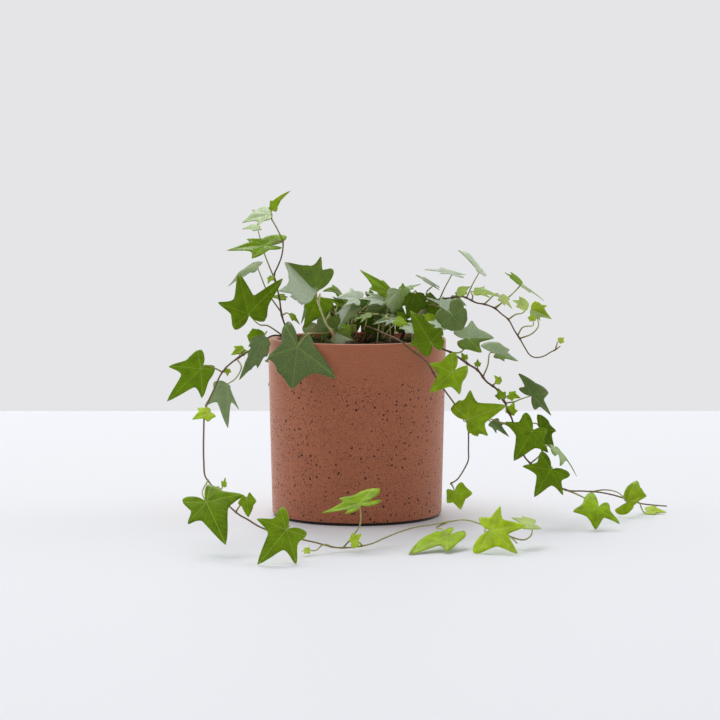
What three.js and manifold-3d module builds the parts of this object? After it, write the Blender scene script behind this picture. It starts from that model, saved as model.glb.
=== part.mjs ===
// Potted ivy: a young English ivy that climbs, hangs and trails out of a straight-sided speckled pot.
// Millimetres, +Z up. The origin is the centre of the pot's underside, and the front looks along -Y.
import * as THREE from 'three';
import { mergeVertices } from 'three/addons/utils/BufferGeometryUtils.js';
import Module from 'manifold-3d';

const wasm = await Module();
wasm.setup();

// ---- Driving dimensions ----
const POT_HEIGHT = 139.5;
const RIM_RADIUS = 70;
const FOOT_RADIUS = 66.8;
const WALL = 7;
const FLOOR = 8;
const FOOT_STEP = 2.4;
const FOOT_INSET = 1.5;
const FOOT_BEVEL = 0.4;
const INNER_CHAMFER = 4;
const LIP_ROUND = 1.2;
const POT_SIDES = 48;
const SOIL_SIDES = 36;

const SOIL_EDGE_HEIGHT = 132.5;
const SOIL_CROWN_HEIGHT = 138.5;
const SOIL_RINGS = 3;
const HOLE_SIDES = 6;
const HOLE_CLEARANCE = 1.2;
const CLEARANCE = 0.3;
// How deep in the soil a stem's first points lie; the last stands above it.
const ROOT_DEPTHS = [22, 6, -1];

const BLADE_THICKNESS = 0.9;
const LOWEST_BLADE = 0.7;
const MATURE_LENGTH = 17;
const NOTCH = 0.08;
const STALK_START = 0.42;
const STALK_END = 0.42;
const STALK_STEPS = 2;
// Where a leaf stalk passes when its record doesn't say, in shares of its span: up from the stem, then
// behind and under the blade.
const STALK_WAY = { out: 0.35, rise: 0.12, behind: 0.25, under: 0.08 };
const STEM_SIDES = 5;
const STEM_STEP = 12;
// Corners closer than this are one.
const WELD = 1e-3;

// The eye that the plant's places were measured from: in front of the pot, above the rim.
const EYE = { x: 2.4, distance: 1903, height: 280 };

// A place as that eye sees it: across and high on the upright plane through the pot's axis, then slid
// along the line of sight until it stands the given way in front of that plane.
function seen([across, high, toward]) {
  const nearer = 1 - toward / EYE.distance;
  return new THREE.Vector3(
    EYE.x + (across - EYE.x) * nearer,
    -toward,
    EYE.height + (high - EYE.height) * nearer,
  );
}

// ---- The leaf ----
// Half a leaf, as points at [degrees from the midrib, distance from the leaf stalk] in midrib lengths,
// and the fans of triangles that fill it. The other half mirrors it.
const MATURE_LEAF = {
  points: {
    base: [0, 0],
    notch: [180, NOTCH],
    ear: [127, 0.56],
    dip: [94, 0.38],
    sideTip: [59, 0.8],
    bay: [31, 0.45],
    shoulder: [16, 0.68],
    tip: [0, 1],
    sideVein: [58, 0.42],
    midVein: [0, 0.52],
  },
  edge: ['notch', 'ear', 'dip', 'sideTip', 'bay', 'shoulder', 'tip'],
  fans: [
    ['base', 'notch', 'ear', 'dip', 'sideVein', 'bay', 'midVein'],
    ['sideVein', 'dip', 'sideTip', 'bay'],
    ['midVein', 'bay', 'shoulder', 'tip'],
  ],
};
const YOUNG_LEAF = {
  points: {
    base: [0, 0],
    notch: [180, NOTCH],
    ear: [120, 0.46],
    sideTip: [62, 0.62],
    bay: [34, 0.5],
    tip: [0, 1],
  },
  edge: ['notch', 'ear', 'sideTip', 'bay', 'tip'],
  fans: [['base', 'notch', 'ear', 'sideTip', 'bay', 'tip']],
};

// How a leaf is bent when its own record doesn't say: arched along the midrib, folded up along it,
// pleated between the veins and sagging at the sides, all in midrib lengths. A slow wave, which starts
// differently on every leaf, lies over it.
const USUAL_BEND = { arch: 0.15, fold: 0.1, pleat: 0.035, sag: 0.16 };
const PLEATS = 6;
const WAVE = 0.018;

// The height of the blade over its flat plane, at a point in midrib lengths. The last argument is the
// point's turn from the midrib on the pattern leaf, where the veins are evenly spread.
function bladeHeight(leaf, along, aside, veinTurn) {
  const bend = { ...USUAL_BEND, ...leaf.bend };
  const reach = Math.hypot(along, aside);
  const phase = 40 * leaf.base.x + 23 * leaf.base.z;
  return (
    bend.arch * along * (1 - along) +
    bend.fold * Math.abs(aside) -
    bend.sag * aside * aside +
    bend.pleat * reach * (0.5 - 0.5 * Math.cos(PLEATS * veinTurn)) +
    WAVE * reach * Math.sin(5 * along + 7 * aside + phase)
  );
}

// The leaf's own axes: along the midrib, across the blade and out of its upper face.
function leafFrame(leaf) {
  const base = leaf.base;
  const along = leaf.end.clone().sub(base);
  const length = along.length();
  along.normalize();
  const face = new THREE.Vector3(...leaf.face);
  face.addScaledVector(along, -face.dot(along)).normalize();
  const across = face.clone().cross(along);
  return { base, along, across, face, length };
}

// ---- A leaf's own lobes ----
// Where a leaf's lobe tips were measured, each half of the pattern is turned and stretched round the
// stalk's end, like a fan, until its lobes reach them.
const SIGHT_STEPS = 12;
const LOBES = ['sideTip', 'ear'];
const MOST_REACH = [1.5, 1.0];
const EAR_WIDTH = 0.75;

// Where the eye sees a place, across and high, on a bent leaf: along and aside, in midrib lengths.
function onLeaf([across, high], leaf, frame) {
  const eye = new THREE.Vector3(EYE.x, -EYE.distance, EYE.height);
  const look = new THREE.Vector3(across, 0, high).sub(eye);
  let along = 0;
  let aside = 0;
  for (let i = 0; i < SIGHT_STEPS; i++) {
    const raised = frame.base.clone();
    raised.addScaledVector(frame.face, bladeHeight(leaf, along, aside, 0) * frame.length);
    const share = raised.sub(eye).dot(frame.face) / look.dot(frame.face);
    const hit = eye.clone().addScaledVector(look, share).sub(frame.base);
    along = (along + hit.dot(frame.along) / frame.length) / 2;
    aside = (aside + hit.dot(frame.across) / frame.length) / 2;
  }
  return [along, aside];
}

// The value at a place on a chain of straight lines through [place, value] stops.
function between(place, stops) {
  let i = 1;
  while (i < stops.length - 1 && place > stops[i][0]) i++;
  const [[low, start], [high, end]] = [stops[i - 1], stops[i]];
  return start + ((end - start) * (place - low)) / (high - low);
}

// How one half of the pattern fans out: the new turn, the stretch and the filling of the bays, at each
// turn of the pattern leaf. All turns are in radians from the midrib.
function fan(leaf, frame, kind, side) {
  const measured = (side > 0 ? leaf.left : leaf.right) ?? [];
  const wide = (leaf.wide ?? [1, 1])[side > 0 ? 0 : 1];
  const fills = (leaf.fill ?? [0, 0, 0, 0]).slice(side > 0 ? 0 : 2);
  const turns = [[0, 0]];
  const shares = [[0, 1]];
  const bays = [[0, 0]];
  let before = 0;
  let turn = 0;
  LOBES.forEach((name, i) => {
    const [degrees, ownReach] = kind.points[name];
    const ownTurn = THREE.MathUtils.degToRad(degrees);
    const [along, aside] = measured.length
      ? onLeaf(measured[i], leaf, frame)
      : [ownReach * Math.cos(ownTurn), ownReach * Math.sin(ownTurn) * wide];
    turn = Math.atan2(Math.abs(aside), along);
    turns.push([ownTurn, turn]);
    shares.push([ownTurn, Math.min(Math.hypot(along, aside), MOST_REACH[i]) / ownReach]);
    bays.push([(before + ownTurn) / 2, fills[i]], [ownTurn, 0]);
    before = ownTurn;
  });
  const notch = measured.length ? Math.min(Math.PI, turn + EAR_WIDTH * (Math.PI - before)) : Math.PI;
  turns.push([Math.PI - 0.05, notch], [Math.PI, Math.PI]);
  shares.push([Math.PI, shares.at(-1)[1]]);
  bays.push([Math.PI, 0]);
  return { turns, shares, bays };
}

// The leaf stalk's four-cornered rings, from the stem to the ring that the blade's notch leaves open.
function stalkRings(leaf, frame, mouth) {
  const { base, along, face } = frame;
  const span = leaf.start.distanceTo(base);
  const way = leaf.way ?? [
    leaf.start.clone().lerp(base, STALK_WAY.out).add(new THREE.Vector3(0, 0, STALK_WAY.rise * span)),
    base.clone()
      .addScaledVector(along, -STALK_WAY.behind * span)
      .addScaledVector(face, -STALK_WAY.under * span),
  ];
  const end = base.clone().addScaledVector(along, -NOTCH * frame.length);
  const path = new THREE.CatmullRomCurve3([leaf.start, ...way, end], false, 'centripetal');
  const steps = STALK_STEPS + way.length - 2;
  const rings = [mouth];
  let across = frame.across;
  for (let i = steps - 1; i >= 0; i--) {
    const centre = path.getPointAt(i / steps);
    const tangent = path.getTangentAt(i / steps);
    across = across.clone().addScaledVector(tangent, -across.dot(tangent)).normalize();
    const up = tangent.clone().cross(across);
    const half = STALK_END + ((STALK_START - STALK_END) * (steps - i)) / steps;
    centre.z = Math.max(centre.z, half + CLEARANCE);
    rings.unshift([[1, 1], [-1, 1], [-1, -1], [1, -1]].map(([a, u]) => (
      centre.clone().addScaledVector(across, a * half).addScaledVector(up, u * half)
    )));
  }
  return rings;
}

// The blade's corners in space. Each named point of the half leaf is made once on each side, or once on
// the midrib, in the upper and in the lower face.
function bladeCorners(leaf, frame, kind) {
  const halves = new Map([1, -1].map((side) => [side, fan(leaf, frame, kind, side)]));
  const index = new Map();
  const upper = [];
  const lower = [];
  function corner(name, side) {
    const [degrees, distance] = kind.points[name];
    const key = degrees === 0 ? name : name + side;
    if (index.has(key)) return index.get(key);
    const veinTurn = THREE.MathUtils.degToRad(degrees);
    const { turns, shares, bays } = halves.get(side);
    const stretch = between(veinTurn, shares) * (1 + between(veinTurn, bays));
    const reach = name === 'notch' ? distance : distance * stretch;
    const turn = between(veinTurn, turns);
    const along = reach * Math.cos(turn);
    let aside = side * reach * Math.sin(turn);
    if (name === 'notch') aside = (side * STALK_END) / frame.length;
    const middle = frame.base.clone();
    middle.addScaledVector(frame.along, along * frame.length);
    middle.addScaledVector(frame.across, aside * frame.length);
    middle.addScaledVector(frame.face, bladeHeight(leaf, along, aside, veinTurn) * frame.length);
    middle.z = Math.max(middle.z, LOWEST_BLADE);
    index.set(key, upper.length);
    upper.push(middle.clone().addScaledVector(frame.face, BLADE_THICKNESS / 2));
    lower.push(middle.clone().addScaledVector(frame.face, -BLADE_THICKNESS / 2));
    return index.get(key);
  }
  return { corner, upper, lower };
}

function bladeTriangles(kind, corner) {
  const triangles = [[corner('base', 1), corner('notch', 1), corner('notch', -1)]];
  for (const side of [1, -1]) {
    for (const [hub, ...rim] of kind.fans) {
      const centre = corner(hub, side);
      const around = rim.map((name) => corner(name, side));
      if (side > 0) around.reverse();
      for (let i = 1; i < around.length; i++) triangles.push([centre, around[i - 1], around[i]]);
    }
  }
  return triangles;
}

// The blade's narrow side, between its upper and its lower face.
function bladeSide(kind, corner, count) {
  const left = kind.edge.map((name) => corner(name, 1)).reverse();
  const right = kind.edge.map((name) => corner(name, -1));
  const faces = [];
  for (const edge of [left, right]) {
    for (let i = 1; i < edge.length; i++) {
      const [a, b] = [edge[i - 1], edge[i]];
      faces.push([a, count + a, count + b], [a, count + b, b]);
    }
  }
  return faces;
}

// The faces of a four-cornered tube through rings of corner numbers, closed at its first ring.
function tubeFaces(rings) {
  const faces = [];
  for (let i = 1; i < rings.length; i++) {
    for (let k = 0; k < 4; k++) {
      const next = (k + 1) % 4;
      const [a, b] = [rings[i - 1][k], rings[i - 1][next]];
      const [c, d] = [rings[i][next], rings[i][k]];
      faces.push([a, b, c], [a, c, d]);
    }
  }
  const cap = rings[0];
  faces.push([cap[0], cap[3], cap[2]], [cap[0], cap[2], cap[1]]);
  return faces;
}

// One leaf with its stalk, as one closed body.
function leafBody(leaf) {
  const frame = leafFrame(leaf);
  const kind = frame.length < MATURE_LENGTH ? YOUNG_LEAF : MATURE_LEAF;
  const { corner, upper, lower } = bladeCorners(leaf, frame, kind);
  const triangles = bladeTriangles(kind, corner);
  const count = upper.length;
  const blade = triangles.flatMap(([a, b, c]) => [[a, b, c], [count + a, count + c, count + b]]);

  const [l, r] = [corner('notch', 1), corner('notch', -1)];
  const rings = stalkRings(leaf, frame, [upper[l], upper[r], lower[r], lower[l]]);
  const free = rings.slice(0, -1);
  const numbers = free.map((ring, i) => ring.map((_, k) => 2 * count + 4 * i + k));
  const stalk = tubeFaces([...numbers, [l, r, count + r, count + l]]);
  const points = [...upper, ...lower, ...free.flat()];
  return solid(points, [...blade, ...bladeSide(kind, corner, count), ...stalk]);
}

// ---- Closed meshes as solids ----
function solidFrom(positions, corners) {
  const vertProperties = new Float32Array(positions);
  const triVerts = new Uint32Array(corners);
  return new wasm.Manifold(new wasm.Mesh({ numProp: 3, vertProperties, triVerts }));
}

function solid(points, faces) {
  return solidFrom(points.flatMap((p) => p.toArray()), faces.flat());
}

function solidOf(geometry) {
  const bare = geometry.clone().deleteAttribute('normal').deleteAttribute('uv');
  const merged = mergeVertices(bare, WELD);
  const ids = merged.index.array;
  const corners = [];
  for (let i = 0; i < ids.length; i += 3) {
    const [a, b, c] = ids.slice(i, i + 3);
    if (a !== b && b !== c && c !== a) corners.push(a, b, c);
  }
  return solidFrom(merged.attributes.position.array, corners);
}

function geometryOf(body) {
  const mesh = body.getMesh();
  const geometry = new THREE.BufferGeometry();
  geometry.setAttribute('position', new THREE.BufferAttribute(mesh.vertProperties, 3));
  geometry.setIndex(new THREE.BufferAttribute(mesh.triVerts, 1));
  geometry.computeVertexNormals();
  return geometry;
}

// A round rod along a curve, thinning from the first radius to the second.
function rod(curve, [thick, thin], steps, sides) {
  const frames = curve.computeFrenetFrames(steps, false);
  const points = [];
  for (let i = 0; i <= steps; i++) {
    const radius = thick + ((thin - thick) * i) / steps;
    const centre = curve.getPointAt(i / steps);
    centre.z = Math.max(centre.z, radius + CLEARANCE);
    for (let k = 0; k < sides; k++) {
      const turn = (2 * Math.PI * k) / sides;
      const point = centre.clone();
      point.addScaledVector(frames.normals[i], radius * Math.cos(turn));
      point.addScaledVector(frames.binormals[i], radius * Math.sin(turn));
      points.push(point);
    }
  }
  const faces = [];
  for (let i = 0; i < steps; i++) {
    for (let k = 0; k < sides; k++) {
      const a = i * sides + k;
      const b = i * sides + ((k + 1) % sides);
      faces.push([a, b, b + sides], [a, b + sides, a + sides]);
    }
  }
  for (let k = 1; k < sides - 1; k++) {
    const last = steps * sides;
    faces.push([0, k + 1, k], [last, last + k, last + k + 1]);
  }
  return solid(points, faces);
}

// ---- Stems, leaf stalks and whole vines ----
// Seeded draws between 0 and 1, the same on every run.
function draws(seed) {
  let state = seed;
  return () => {
    state = (state * 16807) % 2147483647;
    return state / 2147483647;
  };
}

// The far side's leaves follow a rule: they stand left and right in turn, point out from the pot's axis
// and grow smaller towards the stem's end. Each pair is a least value and a spread, in leaf lengths.
const LEAF_RULE = {
  size: [0.9, 0.2],
  out: [0.3, 0.2],
  aside: [0.35, 0.2],
  rise: [0.25, 0.15],
  leanOut: 0.35,
  leanAside: [0.2, 0.4],
  droop: [0.6, 0.3],
  faceUp: 0.5,
  faceAside: [-0.15, 0.3],
  fill: [0.15, 0.15, 0.15, 0.15],
};
const UP = new THREE.Vector3(0, 0, 1);

function soilHeight(radius) {
  const share = Math.min(radius / (RIM_RADIUS - WALL), 1);
  return SOIL_CROWN_HEIGHT + (SOIL_EDGE_HEIGHT - SOIL_CROWN_HEIGHT) * share * share;
}

// A vine's stem, from its root in the soil along its route.
function grow({ name, root, girth, route }, place) {
  const [x, y] = root;
  const ground = soilHeight(Math.hypot(x, y));
  const rooted = ROOT_DEPTHS.map((depth) => new THREE.Vector3(x, y, ground - depth));
  const path = [...rooted, ...route.map(place)];
  const stem = new THREE.CatmullRomCurve3(path, false, 'centripetal');
  // A place counted along the route's own points, as a share of the whole path.
  const share = (from) => (from + rooted.length) / (path.length - 1);
  return { name, root, girth, stem, share, leaves: [] };
}

// The place on a vine's faceted rod that is nearest to a place on its smooth curve.
function onRod(vine, place) {
  const whole = vine.stem.getLength();
  const steps = Math.round(whole / STEM_STEP);
  const lengths = vine.stem.getLengths();
  const first = Math.min(Math.floor(place * (lengths.length - 1)), lengths.length - 2);
  const part = place * (lengths.length - 1) - first;
  const run = lengths[first] + (lengths[first + 1] - lengths[first]) * part;
  const step = Math.min(Math.floor((run / whole) * steps), steps - 1);
  const start = vine.stem.getPointAt(step / steps);
  return start.lerp(vine.stem.getPointAt((step + 1) / steps), (run / whole) * steps - step);
}

function measuredVine(record) {
  const vine = grow(record, seen);
  vine.leaves = record.leaves.map(({ from, at, tip, stalk, ...rest }) => ({
    ...rest,
    start: onRod(vine, vine.share(from)),
    base: seen(at),
    end: seen(tip),
    way: stalk && stalk.map(seen),
  }));
  return vine;
}

function ruledLeaf(start, length, side, pick) {
  const out = new THREE.Vector3(start.x, start.y, 0).normalize();
  const aside = UP.clone().cross(out).multiplyScalar(side);
  const size = length * pick(LEAF_RULE.size);
  const base = start.clone()
    .addScaledVector(out, size * pick(LEAF_RULE.out))
    .addScaledVector(aside, size * pick(LEAF_RULE.aside))
    .addScaledVector(UP, size * pick(LEAF_RULE.rise));
  const lean = out.clone()
    .multiplyScalar(LEAF_RULE.leanOut)
    .addScaledVector(aside, pick(LEAF_RULE.leanAside))
    .addScaledVector(UP, -pick(LEAF_RULE.droop))
    .normalize();
  const end = base.clone().addScaledVector(lean, size);
  end.z = Math.max(end.z, LOWEST_BLADE);
  const face = out.clone()
    .addScaledVector(UP, LEAF_RULE.faceUp)
    .addScaledVector(aside, pick(LEAF_RULE.faceAside));
  return { start, base, end, face: face.toArray(), fill: LEAF_RULE.fill };
}

function ruledVine(record) {
  const vine = grow(record, (spot) => new THREE.Vector3(...spot));
  const { first, count, longest, shortest, seed } = record.leafing;
  const draw = draws(seed);
  const pick = ([least, spread]) => least + spread * draw();
  const last = record.route.length - 1;
  for (let i = 0; i < count; i++) {
    const share = i / (count - 1);
    const start = onRod(vine, vine.share(first + (last - first) * share));
    const length = longest + (shortest - longest) * share;
    vine.leaves.push(ruledLeaf(start, length, i % 2 ? 1 : -1, pick));
  }
  return vine;
}

function vineBody(vine) {
  const steps = Math.round(vine.stem.getLength() / STEM_STEP);
  const stem = rod(vine.stem, vine.girth, steps, STEM_SIDES);
  return wasm.Manifold.union([stem, ...vine.leaves.map(leafBody)]);
}

// ---- The plant ----
// Each leaf: where its stalk leaves the stem (counted along the route), where its blade starts and
// ends, and which way its upper face looks. Left and right are the tips of the side lobe and of the
// ear on each side. Fill widens or deepens its bays: the front and the back one on the left, then on
// the right.
const FRONT_VINES = [
  {
    name: 'vine_climbing_left',
    root: [-50, -4],
    girth: [0.75, 0.5],
    route: [
      [-54, 143, 6], [-59, 157, 10], [-61, 171, 12], [-64, 184, 12], [-65, 189, 12], [-62, 196, 12],
      [-59, 204, 13], [-58, 215, 14], [-60, 220, 14], [-63, 226, 15], [-67, 233, 16],
    ],
    leaves: [
      {
        from: 7, at: [-72, 212, 20], tip: [-102, 208, 26], face: [0, -0.55, 0.85],
        left: [[-82, 202], [-60, 213]], right: [[-86, 217], [-57, 220]], fill: [0.2, -0.35, 0.2, -0.35],
      },
      {
        from: 10, at: [-68, 236, 16], tip: [-90, 230, 22], face: [0.1, -0.4, 0.9],
        left: [[-78, 228], [-70, 232]], right: [[-82, 240], [-74, 242]], fill: [0.4, 0.4, 0.4, 0.4],
      },
      {
        from: 10, at: [-66, 240, 8], tip: [-52, 255, 8], face: [-0.3, -0.9, 0.3],
        left: [[-68, 247], [-69, 240]], right: [[-60, 247], [-63, 239]], fill: [0.2, 0.2, 0.2, 0.2],
      },
      {
        from: 3, at: [-78, 226, 6], tip: [-90, 225, 8], face: [0, -0.35, 0.95], stalk: [[-73, 207, 8]],
      },
      {
        from: 1.2, at: [-78, 195, 0], tip: [-101, 180, -4], face: [-0.45, -0.2, 0.9],
        left: [[-90, 187], [-81, 191]], right: [[-90, 194], [-75, 199]], fill: [0.1, 0.1, 0.1, 0.1],
        stalk: [[-70, 175, 4], [-75, 187, 2]],
      },
      {
        from: 2, at: [-57, 172, 4], tip: [-69, 172, -2], face: [0.1, -0.8, 0.6],
        left: [[-61, 169], [-56, 169]], right: [[-61, 174], [-57, 174]],
      },
      { from: 4, at: [-67, 187, 14], tip: [-70, 182, 16], face: [-0.5, -0.7, 0.3] },
      {
        from: 1, at: [-53, 158, 16], tip: [-45, 150, 18], face: [0.3, -0.6, 0.7],
        left: [[-48, 157], [-51, 159]], right: [[-51, 153], [-53, 157]], fill: [0.1, 0.1, 0.1, 0.1],
      },
    ],
  },
  {
    name: 'vine_trailing_left',
    root: [-46, -20],
    girth: [0.72, 0.5],
    route: [
      [-51, 141, 17], [-58, 141, 20], [-66, 141.3, 22], [-73, 137.5, 25], [-80, 132.5, 29],
      [-89, 126.5, 36], [-98, 120.5, 47], [-106, 112.5, 62], [-113, 98, 82], [-119.5, 83, 102],
      [-121, 62, 127], [-121, 42, 147], [-120, 30, 159], [-116, 24, 167], [-108, 14, 185],
      [-100, 5, 203], [-93, -1, 213], [-86, -5, 218], [-78, -10, 219], [-66, -15, 217], [-54, -18, 211],
      [-42, -21, 204], [-33, -23, 199], [-17, -27, 189], [-5, -27, 185], [10, -24.5, 176],
      [23, -19, 162], [37, -13.5, 154], [48, -10.5, 154], [59, -9, 155], [72, -6.5, 158], [85, -5, 162],
      [97, -8, 168], [107, -13, 172], [122, -19, 175], [127, -24, 177],
    ],
    leaves: [
      {
        from: 1, at: [-85, 158, 36], tip: [-93, 191, 24], face: [0.1, -0.97, 0.15],
        left: [[-109, 167], [-97, 147]], right: [[-58, 186], [-72, 154]], fill: [0.1, 0.1, -0.25, 0],
        stalk: [[-70, 149, 24], [-77, 150, 32]],
      },
      {
        from: 3.5, at: [-76, 139, 30], tip: [-82, 147, 32], face: [-0.2, -0.8, 0.5],
        left: [[-86, 140], [-80, 135]], right: [[-77, 146], [-74, 139]], fill: [0.5, 0.5, 0.5, 0.5],
      },
      {
        from: 3, at: [-73, 141, 42], tip: [-93, 106, 52], face: [0.1, -0.93, 0.3],
        left: [[-78, 116], [-69, 133]], right: [[-86, 127], [-83, 137]], fill: [0.7, 0.7, 0.7, 0.7],
      },
      { from: 5.4, at: [-90, 130, 32], tip: [-99, 126, 38], face: [0, -0.7, 0.7] },
      { from: 6.6, at: [-102, 114, 58], tip: [-102, 109, 60], face: [0, -1, 0.2] },
      {
        from: 7, at: [-123, 115, 66], tip: [-150, 89, 76], face: [0.1, -0.97, 0.15],
        left: [[-122, 92], [-112, 116]], right: [[-148, 117], [-124, 130]],
        fill: [0.05, 0.05, 0.05, 0.05],
      },
      {
        from: 5.6, at: [-102, 103, 70], tip: [-102, 68, 80], face: [-0.35, -0.75, 0.6],
        left: [[-93, 83], [-100, 100]], right: [[-120, 86], [-113, 103]], fill: [0.1, 0.1, 0.1, 0.1],
        stalk: [[-91, 116, 56], [-96, 107, 66]],
      },
      { from: 8.9, at: [-117, 80, 106], tip: [-130, 75, 112], face: [-0.1, -0.7, 0.7] },
      {
        from: 12.6, at: [-119, 9, 201], tip: [-104, -25, 221], face: [0.1, -0.97, 0.15],
        left: [[-90, 15], [-117, 23]], right: [[-134, -8], [-138, 10]], fill: [0.1, 0.1, 0.1, 0.1],
      },
      {
        from: 13.5, at: [-106, 22, 183], tip: [-104, 29, 183], face: [0.8, -0.5, 0.3],
        left: [[-107, 26], [-107, 22]], right: [[-103, 25], [-103, 22]],
      },
      {
        from: 15.6, at: [-87, 10, 215], tip: [-86, -3, 219], face: [0.1, -0.97, 0.15],
        left: [[-80, 11], [-85, 17]], right: [[-94, 9], [-90, 15]],
      },
      {
        from: 19.5, at: [-56, -13, 233], tip: [-79, -41, 247], face: [0.1, -0.97, 0.15],
        left: [[-48, -41], [-40, -17]], right: [[-79, -4], [-60, 5]],
      },
      {
        from: 22.8, at: [-38, -29, 203], tip: [-44, -30, 205], face: [0.1, -0.5, 0.85],
        left: [[-42, -32], [-38, -32]], right: [[-42, -28], [-38, -27]],
      },
      {
        from: 23.5, at: [2, 8, 178], tip: [-28, 0, 187], face: [0.1, -0.5, 0.85],
        left: [[-9, 0], [18, 13]], right: [[-14, 12], [17, 20]], fill: [0.1, -0.8, 0.2, -0.2],
        bend: { arch: 0.03, fold: 0.04, pleat: 0.02, sag: 0.03 },
        stalk: [[-4, -19, 183], [2, -10, 180], [3, -3, 177]],
      },
      { from: 24.6, at: [-3, -23, 191], tip: [4, -16, 195], face: [-0.1, -0.8, 0.6] },
      {
        from: 30, at: [71, -18, 175], tip: [41, -33, 203], face: [0.05, -0.3, 0.95],
        left: [[71, -30], [85, -14]], right: [[64, -14], [75, -11]],
        bend: { arch: 0.03, fold: 0.04, pleat: 0.02, sag: 0.03 },
        stalk: [[63, -11, 155], [68, -13, 168]],
      },
      {
        from: 32.6, at: [106, -13, 189], tip: [134, -10, 191], face: [0, -0.75, 0.65],
        left: [[113, 6], [98, -3]], right: [[127, -32], [94, -32]],
      },
      {
        from: 33.5, at: [139, -8, 167], tip: [122, -3, 164], face: [0.15, -0.35, 0.93],
        left: [[128, -11], [147, -9]], right: [[131, -2], [141, -5]],
        bend: { arch: 0.03, fold: 0.04, pleat: 0.02, sag: 0.03 },
        stalk: [[132, -21, 173], [138, -17, 170]],
      },
    ],
  },
  {
    name: 'vine_hanging_front',
    root: [2, -24],
    girth: [0.75, 0.55],
    route: [
      [6, 148, 34], [13, 146.5, 42], [20, 143.5, 50], [27, 140.5, 58], [34, 137, 66], [44, 129, 70],
      [50, 125, 69], [56, 119, 66], [60, 112, 62], [67, 101, 54], [75, 90, 46], [82, 80, 40],
      [87, 72, 37], [88, 63, 36], [88, 51, 38], [88, 43, 40], [85, 36, 44], [79, 27, 48], [74, 24, 50],
    ],
    leaves: [
      {
        from: 5.4, at: [58, 136, 74], tip: [42, 161, 68], face: [0.1, -0.97, 0.15],
        left: [[42, 134], [55, 125]], right: [[67, 146], [66, 130]], fill: [0.25, 0.4, 0.2, 0.5],
      },
      {
        from: 8, at: [75, 112, 62], tip: [57, 96, 72], face: [0.1, -0.97, 0.15],
        left: [[81, 95], [87, 117]], right: [[57, 119], [76, 128]], fill: [0.1, 0.1, 0.1, 0.1],
      },
      {
        from: 11, at: [88, 75, 54], tip: [118, 86, 58], face: [0.1, -0.93, 0.35],
        left: [[89, 98], [75, 85]], right: [[103, 62], [90, 64]], fill: [0.1, 0.35, 0.1, 0.7],
        bend: { pleat: 0.1 },
      },
      {
        from: 18, at: [78, 16, 56], tip: [82, 3, 60], face: [0, -0.85, 0.5], left: [[91, 17], [83, 25]],
        right: [[71, 9], [71, 19]],
      },
    ],
  },
  {
    name: 'vine_trailing_right',
    root: [34, -8],
    girth: [0.9, 0.55],
    route: [
      [40, 148, 20], [46, 146, 28], [52, 143.5, 37], [58, 140, 44], [63, 135, 47], [67, 131, 47],
      [74, 128, 44], [87, 119, 37], [95, 114, 33], [102, 105, 30], [110, 99, 28], [114, 92, 28],
      [117, 88, 28], [119, 82, 28], [122, 76, 30], [125, 66, 33], [128, 61, 36], [132, 46, 42],
      [137, 40, 45], [150, 28, 50], [165, 19, 50], [179, 18, 42], [192, 17, 34], [202, 15, 26],
      [209, 13, 20], [225, 8, -6], [233, 7, -12], [245, 6, -20],
    ],
    leaves: [
      {
        from: 6, at: [88, 139, 40], tip: [108, 139, 46], face: [-0.25, -0.7, 0.65],
        left: [[90, 153], [77, 145]], right: [[98, 128], [79, 136]], fill: [0.1, 0.2, 0.1, 0.3],
        stalk: [[81, 128, 42], [87, 134, 41]],
      },
      { from: 7, at: [85, 123, 38], tip: [82, 128, 38], face: [0, -0.9, 0.4] },
      { from: 8, at: [95, 118, 33], tip: [95, 123, 33], face: [0, -0.9, 0.4] },
      {
        from: 8.6, at: [110, 127, 30], tip: [127, 121, 34], face: [0, -0.7, 0.7],
        left: [[120, 130], [98, 134]], right: [[116, 121], [108, 124]], fill: [0.3, 0.3, 0.3, 0.3],
      },
      { from: 9.6, at: [112, 105, 32], tip: [108, 110, 32], face: [0.2, -0.8, 0.6] },
      { from: 11.5, at: [114, 93, 30], tip: [111, 100, 32], face: [-0.3, -0.8, 0.4] },
      { from: 11.4, at: [121, 94, 28], tip: [129, 92, 30], face: [0, -0.8, 0.6] },
      { from: 13.4, at: [121, 81, 28], tip: [124, 89, 30], face: [0, -0.9, 0.4] },
      {
        from: 12, at: [138, 94, 30], tip: [151, 96, 18], face: [0.5, -0.85, 0.1],
        left: [[127, 111], [128, 100]], right: [[153, 78], [141, 83]],
        stalk: [[124, 89, 28], [129, 91, 29]],
      },
      {
        from: 15.6, at: [138, 65, 36], tip: [124, 42, 46], face: [0.1, -0.97, 0.15],
        left: [[151, 49], [150, 66]], right: [[117, 73], [132, 80]], fill: [0.1, 0.1, 0.1, 0.1],
      },
      {
        from: 15, at: [145, 67, 24], tip: [156, 49, 22], face: [0.2, -0.95, 0.15],
        left: [[157, 66], [143, 79]], right: [[146, 49], [138, 58]], fill: [0.2, 0.2, 0.2, 0.2],
      },
      {
        from: 15.2, at: [106, 73, 26], tip: [120, 61, 24], face: [-0.2, -0.75, 0.6],
        left: [[119, 72], [112, 75]], right: [[110, 64], [104, 70]], fill: [0.1, 0.1, 0.1, 0.1],
      },
      {
        from: 18, at: [156, 53, 28], tip: [174, 30, 32], face: [0.75, -0.1, 0.6],
        left: [[165, 45], [160, 51]], right: [[161, 39], [155, 42]],
        stalk: [[144, 46, 38], [150, 54, 34]],
      },
      {
        from: 18.4, at: [153, 35, 48], tip: [140, 13, 58], face: [0.1, -0.97, 0.15],
        left: [[163, 15], [168, 30]], right: [[131, 38], [145, 49]], fill: [0.05, 0.05, 0.05, 0.05],
      },
      {
        from: 20, at: [191, 4, 84], tip: [189, -13, 94], face: [0.05, -0.9, 0.35],
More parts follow.
